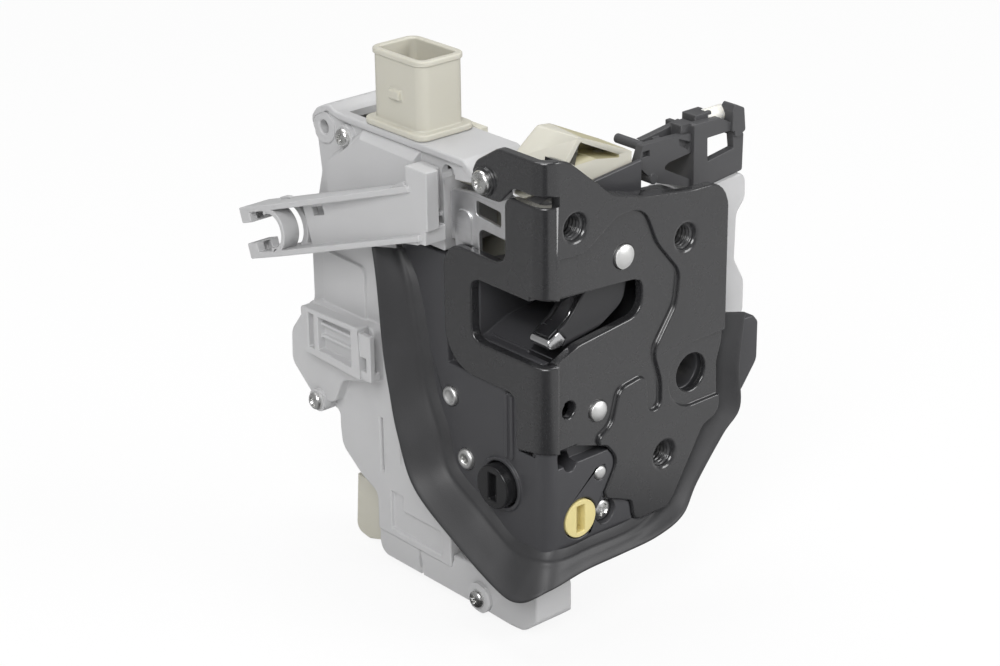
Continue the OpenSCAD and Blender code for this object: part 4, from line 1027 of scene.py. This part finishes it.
@dataclass
class LatchPlate:
    """The formed plate with its threads, rivets and screws. Lengths are in millimetres.

    Attributes:
        bolts: Place of each bolt hole in X and Z.
        bore: Radius of a hole's wall.
        entry: Radius of the drawn curve at a hole's mouth.
        pitch: Pitch of the bolt thread.
        depth: Depth of the thread.
        reach: Where the thread starts and ends behind the face.
        edge: Width of the plate's rounded edges.
        wing: Place of the wing's outer face in X.
        case: Place of the case's outer face in X.
        sides: Steps round a thread and along it.
    """

    bolts: tuple[tuple[float, float], ...] = ((0.0, 0.0), (39.4, -12.9), (32.6, -73.9))
    bore: float = 3.4
    entry: float = 1.5
    pitch: float = 1.25
    depth: float = 0.5
    reach: tuple[float, float] = (1.3, 9.4)
    edge: float = 0.6
    wing: float = -10.5
    case: float = -9.5
    sides: tuple[int, int] = (56, 90)

    def build(self) -> None:
        """Builds every piece of the plate."""
        self.sheet()
        for letter, bolt in zip("abc", self.bolts):
            self.thread(letter, bolt)
        self.rivets()
        self.screws()
        for node in ("claw_rivet", "pawl_rivet"):
            softened(node, Finish.RIVET, 0.35)
        softened("support_bracket", Finish.ZINC, 0.3)

    def sheet(self) -> None:
        """Rounds the plate's edges, with a drawn curve into each bolt hole."""
        piece = cad_copy("latch_plate")
        work = bmesh.new()
        work.from_mesh(piece.data)
        mouths = [edge for edge in work.edges if self.at_mouth(edge)]
        bmesh.ops.bevel(work, geom=mouths, offset=self.entry * MM, segments=6, profile=0.5,
                        affect="EDGES", clamp_overlap=False)
        work.to_mesh(piece.data)
        work.free()
        softened("latch_plate", Finish.PLATE, self.edge, 4, piece)

    def at_mouth(self, edge: bmesh.types.BMEdge) -> bool:
        """Returns whether an edge lies on the front rim of a bolt hole."""
        if any(abs(vert.co.y) > 0.02 * MM for vert in edge.verts):
            return False
        return any(
            all(abs(math.hypot(vert.co.x - x * MM, vert.co.z - z * MM) - self.bore * MM) < 0.03 * MM
                for vert in edge.verts)
            for x, z in self.bolts
        )

    def thread(self, letter: str, bolt: tuple[float, float]) -> None:
        """Cuts the bolt thread as a liner on a hole's wall.

        Args:
            letter: The hole's letter.
            bolt: The hole's place in X and Z.
        """
        steps, rows = self.sides
        start, end = self.reach
        rings = []
        for row in range(rows + 1):
            y = start + (end - start) * row / rows
            fade = min(1.0, (y - start) / 0.5, (end - y) / 0.5)
            ring = []
            for step in range(steps):
                turn = step / steps
                phase = (y / self.pitch - turn) % 1.0
                ridge = min(1.0, max(0.0, 1.25 - abs(phase - 0.5) * 3.0))
                radius = self.bore - 0.02 - self.depth * ridge * fade
                angle = 2.0 * math.pi * turn
                ring.append((bolt[0] + radius * math.cos(angle), y, bolt[1] + radius * math.sin(angle)))
            rings.append(ring)
        rings += [circle("y", bolt, self.bore + 0.4, y, steps) for y in (end, start)]
        liner = Workpiece()
        liner.skin(rings, closed=True)
        # The liner wears the lighter copy of the coat, a painted highlight on the thread's turns.
        dress(liner.piece("bolt_thread_" + letter), Finish.THREAD, "latch_plate", 50.0, False)

    def rivets(self) -> None:
        """Turns the rivets of the case, with their dished and rolled heads."""
        solid = ((0.02, -0.42), (1.2, -0.46), (1.55, -0.62), (1.8, -0.86), (2.2, -0.9), (2.55, -0.76),
                 (2.74, -0.4), (2.75, 0.0), (2.75, 9.0), (0.02, 9.0))
        tube = ((1.25, 9.0), (1.25, -0.2), (1.34, -0.6), (1.62, -0.84), (1.95, -0.9), (2.4, -0.86),
                (2.8, -0.62), (2.97, -0.2), (2.98, 9.0))
        domed = ((0.02, 0.4), (1.1, 0.43), (1.6, 0.55), (1.88, 0.75), (2.0, 1.1), (2.0, 14.0), (0.02, 14.0))
        for node, axis, at, face, profile in (("side_rivet", "x", (38.8, -56.5), self.case, solid),
                                              ("side_eyelet", "x", (32.9, -73.2), self.case, tube),
                                              ("case_rivet", "y", (9.6, -72.0), 0.0, domed)):
            rivet = Workpiece()
            rivet.turned(axis, at, [(radius, face + reach) for radius, reach in profile], profile is tube)
            dress(rivet.piece(node + "_turned"), Finish.RIVET, node, 50.0)

    def screws(self) -> None:
        """Builds the cross-head screws of the ear and of the face."""
        ear = CrossScrew("x", (22.6, 9.0), self.wing - 2.6, (3.2, 1.7), (2.0, -2.5), 32.0).build("ear")
        face = CrossScrew("y", (11.4, -83.9), 1.4, (3.2, 1.8), (1.5, 11.0), 58.0).build("face")
        dress(joined("plate_screws_cross", [ear, face]), Finish.ZINC_SCREW, "plate_screws", 40.0)


@dataclass
class SealSkirt:
    """The rubber lip round the case: a swept section with a groove and a rolled edge.

    Attributes:
        foot: Points along the lip's foot on the case, in millimetres.
        edge: Points along its free edge.
        thick: Its thickness.
        rings: Sections from one point to the next.
    """

    foot: tuple[Point, ...] = (
        (-9.5, 58, -20), (-9.5, 52.9, -27.6), (-9.5, 49.1, -42.6), (-9.5, 46.4, -56.6), (-9.5, 41.6, -67.2),
        (-9.5, 37.6, -78), (-9.5, 26, -84.6), (-9.5, 14, -91.2), (-9.1, 4.5, -91.2), (-5.5, 0.8, -91.2),
        (5, 0.8, -91.2), (18, 0.8, -91.3), (29, 3.4, -91.5), (35.6, 5.8, -89), (41.2, 6.4, -80.6),
        (47.2, 6.4, -72), (52.4, 6.4, -64), (52.8, 6.4, -52), (52.6, 6.4, -40),
    )
    edge: tuple[Point, ...] = (
        (-18, 60.6, -18), (-18, 58.8, -27.6), (-18, 56.8, -46.6), (-18, 54.6, -58), (-18, 51.6, -69.4),
        (-18, 45, -83.6), (-18, 29, -93.4), (-18, 11.6, -101.2), (-17, 3, -102.2), (-12, -2, -98.6),
        (0, -2, -97.2), (14, -2, -97), (28, -2, -96.8), (39, -1, -94.4), (45.5, 0, -86.6),
        (55, 0, -75.4), (62, 0.4, -69), (61.4, 0.4, -56), (63, 0.4, -41),
    )
    thick: float = 1.2
    rings: int = 8

    @staticmethod
    def along(points: Sequence[Point], place: float) -> Vector:
        """Returns the point at a place on the smooth curve through points."""
        last = len(points) - 1
        index = min(last - 1, int(place))
        f = place - index
        a, b, c, d = (Vector(points[max(0, min(last, index + k))]) for k in (-1, 0, 1, 2))
        return 0.5 * (2 * b + (c - a) * f + (2 * a - 5 * b + 4 * c - d) * f * f
                      + (3 * b - a - 3 * c + d) * f ** 3)

    def section(self, width: float) -> list[tuple[float, float]]:
        """Returns the lip's section for a width: distance from the foot, and height off its back.

        It starts behind the foot, so that the lip is seated in the case without a gap.
        """
        t = self.thick
        return [
            (-1.8, t), (0.9, t), (1.3, t * 0.86), (1.7, t * 0.66), (2.3, t * 0.62), (3.0, t * 0.74),
            (3.9, t * 0.86), (width * 0.55, t * 0.82), (width - 1.6, t * 0.9), (width - 0.8, t),
            (width - 0.3, t * 0.92), (width - 0.05, t * 0.66), (width, t * 0.4), (width - 0.2, t * 0.12),
            (width - 0.7, 0.0), (width * 0.5, t * 0.1), (1.5, 0.0), (-1.8, 0.0),
        ]

    def build(self) -> None:
        """Sweeps the section from the upper left of the case round to its right."""
        last = len(self.foot) - 1
        rings = []
        for step in range(last * self.rings + 1):
            place = step / self.rings
            foot, edge = self.along(self.foot, place), self.along(self.edge, place)
            ahead = self.along(self.foot, min(place + 0.1, last))
            ahead = ahead - self.along(self.foot, max(place - 0.1, 0.0))
            across = edge - foot
            lift = across.cross(ahead).normalized()
            width = across.length
            across = across / width
            rings.append([foot + across * out + lift * up for out, up in self.section(width)])
        lip = Workpiece()
        lip.skin(rings)
        dress(lip.piece("seal_lip"), Finish.SEAL, "seal_skirt", 55.0)


@dataclass
class Spring:
    """A wire spring wound about a pin along Y. Lengths are in millimetres.

    Attributes:
        node: The CAD node that it stands for.
        at: The pin's place in X and Z.
        radius: Radius of the coil.
        wire: Radius of the wire.
        start: Where the coil starts behind the face.
        leg: Angle at which the first leg leaves, in degrees.
        turns: Turns of the coil.
        sides: Steps in one turn and sides of the wire.
    """

    node: str
    at: tuple[float, float]
    radius: float
    wire: float
    start: float
    leg: float
    turns: float = 2.0
    sides: tuple[int, int] = (36, 12)

    def build(self) -> None:
        """Winds the spring."""
        steps, wire = int(self.turns * self.sides[0]), self.wire
        path = []
        for step in range(steps + 1):
            angle = math.radians(self.leg) + 2.0 * math.pi * self.turns * step / steps
            y = self.start + wire + (2.0 * wire + 0.02) * (self.turns - 1.0) * step / steps
            path.append(Vector((self.at[0] + self.radius * math.cos(angle), y,
                                self.at[1] + self.radius * math.sin(angle))))
        corners = [2.0 * math.pi * corner / self.sides[1] for corner in range(self.sides[1])]
        rings = []
        for index, spot in enumerate(path):
            ahead = path[min(index + 1, steps)] - path[max(index - 1, 0)]
            side = ahead.cross(Vector((0.0, 1.0, 0.0))).normalized()
            rise = side.cross(ahead).normalized()
            rings.append([spot + wire * (math.cos(turn) * side + math.sin(turn) * rise) for turn in corners])
        coil = Workpiece()
        coil.skin(rings)
        dress(coil.piece(self.node + "_wound"), Finish.CAN, self.node, 60.0)


@dataclass
class Assembly:
    """A group of CAD nodes that are dressed together.

    Attributes:
        title: The group's name in the log.
        nodes: Each node with its finish and the width of its edges in millimetres, 0 to leave it.
    """

    title: str
    nodes: dict[str, tuple[Finish, float]]

    def build(self) -> None:
        """Dresses each node of the group."""
        log.info("group: %s", self.title)
        for node, (finish, width) in self.nodes.items():
            if width > 0:
                softened(node, finish, width)
            else:
                paint(frame["nodes"][node], finish)


@dataclass
class Housing(Assembly):
    """The covers, the socket and what they carry. Lengths are in millimetres.

    Attributes:
        chute: Lowest and highest corner of the rod chute's inside.
        screws: Place in Y and Z, and the head's top, of each cover screw, with the tip of its shank.
    """

    chute: tuple[Point, Point] = ((7.3, 9.3, 9.9), (24.2, 19.7, 17.8))
    screws: tuple[tuple[float, float, float, float], ...] = (
        (80.1, 6.3, -12.5, -3.5), (93.6, -75.4, -15.4, -6.4), (28.6, -114.0, -11.6, -5.2))

    def build(self) -> None:
        """Dresses the covers, then builds the screws and the funnel."""
        super().build()
        heads = [CrossScrew("x", (y, z), top, (2.6, 1.8), (1.4, tip), 20.0 + 37.0 * index).build("cover")
                 for index, (y, z, top, tip) in enumerate(self.screws)]
        dress(joined("cover_screws_cross", heads), Finish.ZINC_SCREW, "cover_screws", 40.0)
        self.funnel()

    def funnel(self) -> None:
        """Rounds the funnel and gives the inside of its chute a darker, yellower cream: painted shade for
        the thick chute's unlit inside.
        """
        piece = softened("rod_funnel", Finish.CREAM, 0.7)
        # The chute's inside faces get the darker copy of the cream, which is painted shade.
        piece.data.materials.append(Finish.CHUTE.material())
        low, high = self.chute
        for face in piece.data.polygons:
            inside = all(low[k] * MM < face.center[k] < high[k] * MM for k in range(3))
            if inside and face.center.y > 9.9 * MM:
                face.material_index = 1


@dataclass
class Studio:
    """The pale floor, the lights and the camera.

    Attributes:
        azimuth: The camera's turn about +Z from the -Y side, in degrees.
        elevation: Its height above the horizon, in degrees.
        roll: Its roll, in degrees.
        lens: Its focal length in millimetres, on a 36 mm sensor.
        depth: Its distance from the origin along the view, in metres.
        offset: The origin's place in the photograph from its centre, in focal lengths.
        half: Half the floor's side, in metres.
        across: The direction across the dark strip that reflections see in the floor.
        strip: Brightness of the floor's reflection across that strip, half a metre to each side.
        plain: Share of the floor that the camera sees as plain white.
        fill: Strength of the light from all round.
        backdrop: Brightness of what the camera sees behind the floor.
        aim: The spot that the lamps face, in metres.
        lamps: Name, place in metres, side in metres and power in watts of each softbox.
    """

    azimuth: float = -41.0
    elevation: float = 23.5
    roll: float = -0.7
    lens: float = 90.0
    depth: float = 0.625
    offset: tuple[float, float] = (76.0 / 2500.0, -105.0 / 2500.0)
    half: float = 3.0
    across: tuple[float, float] = (0.656, -0.755)
    strip: tuple[tuple[float, float], ...] = ((0.39, 0.34), (0.45, 0.04), (0.55, 0.04), (0.61, 0.64))
    plain: float = 0.88
    fill: float = 0.34
    backdrop: float = 0.96
    aim: Point = (0.02, 0.04, -0.04)
    lamps: tuple[tuple[str, Point, float, float], ...] = (
        ("softbox_left", (-1.0, -0.7, 1.0), 0.8, 18.0), ("softbox_front", (0.9, -1.3, 0.7), 0.9, 15.0),
        ("softbox_top", (0.1, 0.4, 1.5), 1.0, 12.0))

    def camera(self) -> None:
        """Makes the camera at the photograph's angle."""
        a, e, r = (math.radians(v) for v in (self.azimuth, self.elevation, self.roll))
        right = Vector((math.cos(a), math.sin(a), 0.0))
        up = Vector((-math.sin(a) * math.sin(e), math.cos(a) * math.sin(e), math.cos(e)))
        right, up = (right * math.cos(r) + up * math.sin(r), -right * math.sin(r) + up * math.cos(r))
        back = right.cross(up)
        where = self.depth * (back - self.offset[0] * right + self.offset[1] * up)
        data = bpy.data.cameras.new("camera")
        data.lens = self.lens
        data.sensor_width = 36.0
        data.clip_start = 0.01
        data.clip_end = 20.0
        camera = link("camera", data)
        camera.matrix_world = Matrix.Translation(where) @ Matrix((right, up, back)).transposed().to_4x4()
        bpy.context.scene.camera = camera

    def floor(self, low: float) -> None:
        """Lays the floor, with a dark strip towards the camera that only reflections see.

        Args:
            low: Height of the object's lowest point, in metres.
        """
        mesh, half = bpy.data.meshes.new("floor"), self.half
        mesh.from_pydata([(-half, -half, low), (half, -half, low), (half, half, low), (-half, half, low)],
                         [], [(0, 1, 2, 3)])
        floor = link("floor", mesh)
        g = Graph("pale_floor")
        rays, gloss, through = (g.node("ShaderNodeLightPath", out=f"Is {kind} Ray")
                                for kind in ("Camera", "Glossy", "Transmission"))
        dull = g.node("ShaderNodeBsdfDiffuse", sockets={"Color": (0.82, 0.82, 0.82, 1.0)})
        x, y = (g.node("ShaderNodeSeparateXYZ", sockets={0: g.place()}, out=axis) for axis in "XY")
        aside = x * self.across[0] + y * self.across[1]
        flag = g.ramp(aside + 0.5, *self.strip)
        shade = g.blend(rays.at_least(flag), (0.0, 0.0, 0.0), (1.0, 1.0, 1.0))
        white = g.node("ShaderNodeEmission", sockets={"Color": shade, "Strength": 1.0})
        share = (rays * self.plain).at_least(gloss.at_least(through))
        mesh.materials.append(g.end(g.node("ShaderNodeMixShader", sockets={0: share, 1: dull, 2: white})))
        floor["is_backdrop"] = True

    def lamp(self, name: str, where: Point, size: float, power: float) -> None:
        """Hangs one square softbox that faces the object.

        Args:
            name: The lamp's name.
            where: Its place, in metres.
            size: Its side, in metres.
            power: Its power, in watts.
        """
        data = bpy.data.lights.new(name, "AREA")
        data.shape = "SQUARE"
        data.size = size
        data.energy = power
        spot = Vector(where)
        aim = Vector(self.aim) - spot
        turn = aim.to_track_quat("-Z", "Y").to_matrix().to_4x4()
        link(name, data).matrix_world = Matrix.Translation(spot) @ turn

    def light(self) -> None:
        """Lights the object softly from all round, a little more from the upper left."""
        g = Graph("studio", world=True)
        rays = g.node("ShaderNodeLightPath", out="Is Camera Ray")
        fill = g.node("ShaderNodeBackground", sockets={"Strength": self.fill})
        white = g.node("ShaderNodeBackground", sockets={"Color": (*(self.backdrop,) * 3, 1.0)})
        mixed = g.node("ShaderNodeMixShader", sockets={0: rays, 1: fill, 2: white})
        bpy.context.scene.world = g.end(mixed)
        for name, where, size, power in self.lamps:
            self.lamp(name, where, size, power)


def assemblies() -> list[LatchPlate | SealSkirt | Spring | Assembly]:
    """Returns the lock's groups of pieces with their finishes."""
    return [
        LatchPlate(),
        Assembly("claw and pawl", {
            "claw_core": (Finish.JAW, 0.9), "claw_jacket": (Finish.JACKET, 0.5), "pawl": (Finish.JAW, 0.3),
            "back_plate": (Finish.ZINC, 0.3), "striker_buffer": (Finish.SEAL, 0.4),
        }),
        Spring("claw_spring", (17.8, -12.8), 6.5, 0.5, 12.9, 40.0),
        Spring("pawl_spring", (8.9, -53.8), 4.9, 0.45, 13.0, 150.0),
        SealSkirt(),
        Assembly("case", {
            "lock_case": (Finish.CASE, 0.5), "emergency_rotary": (Finish.ROTARY, 0.45),
            "child_rotary": (Finish.YELLOW, 0.3),
        }),
        Housing("housing", {
            "side_cover": (Finish.GREY, 0.6), "lower_cover": (Finish.GREY, 0.7),
            "carrier": (Finish.CREAM, 0.4), "connector_socket": (Finish.CREAM, 0.5),
            "connector_pins": (Finish.BRASS, 0.12), "key_rotor": (Finish.CREAM, 0.3),
            "right_cover": (Finish.GREY, 0.7), "rod_bracket": (Finish.BRACKET, 0.3),
            "rod_bush": (Finish.WHITE, 0.3), "cable_holder": (Finish.GREY, 0.35),
            "side_clip": (Finish.GREY, 0.35),
        }),
        Assembly("drive", {
            "drive_motor": (Finish.CAN, 0.8), "lead_frame": (Finish.BRASS, 0.0),
            "switches": (Finish.CASE, 0.4), "lever_pins": (Finish.RIVET, 0.25),
            "motor_shaft": (Finish.RIVET, 0.0), "worm": (Finish.WHITE, 0.0),
            "worm_wheel": (Finish.WHITE, 0.0), "lock_lever": (Finish.CREAM, 0.3),
            "outside_lever": (Finish.ZINC, 0.25), "inside_lever": (Finish.ZINC, 0.25),
        }),
    ]


def main() -> None:
    """Builds the studio and dresses every piece of the lock."""
    logging.basicConfig(level=logging.INFO, format="%(name)s: %(message)s")
    studio = Studio()
    studio.camera()
    cad = [list(corner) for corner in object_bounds()]
    for group in assemblies():
        group.build()
    studio.floor(cad[0][2] - 0.0004)
    studio.light()
    bpy.context.scene.view_settings.view_transform = "Standard"


if __name__ == "__main__":
    main()
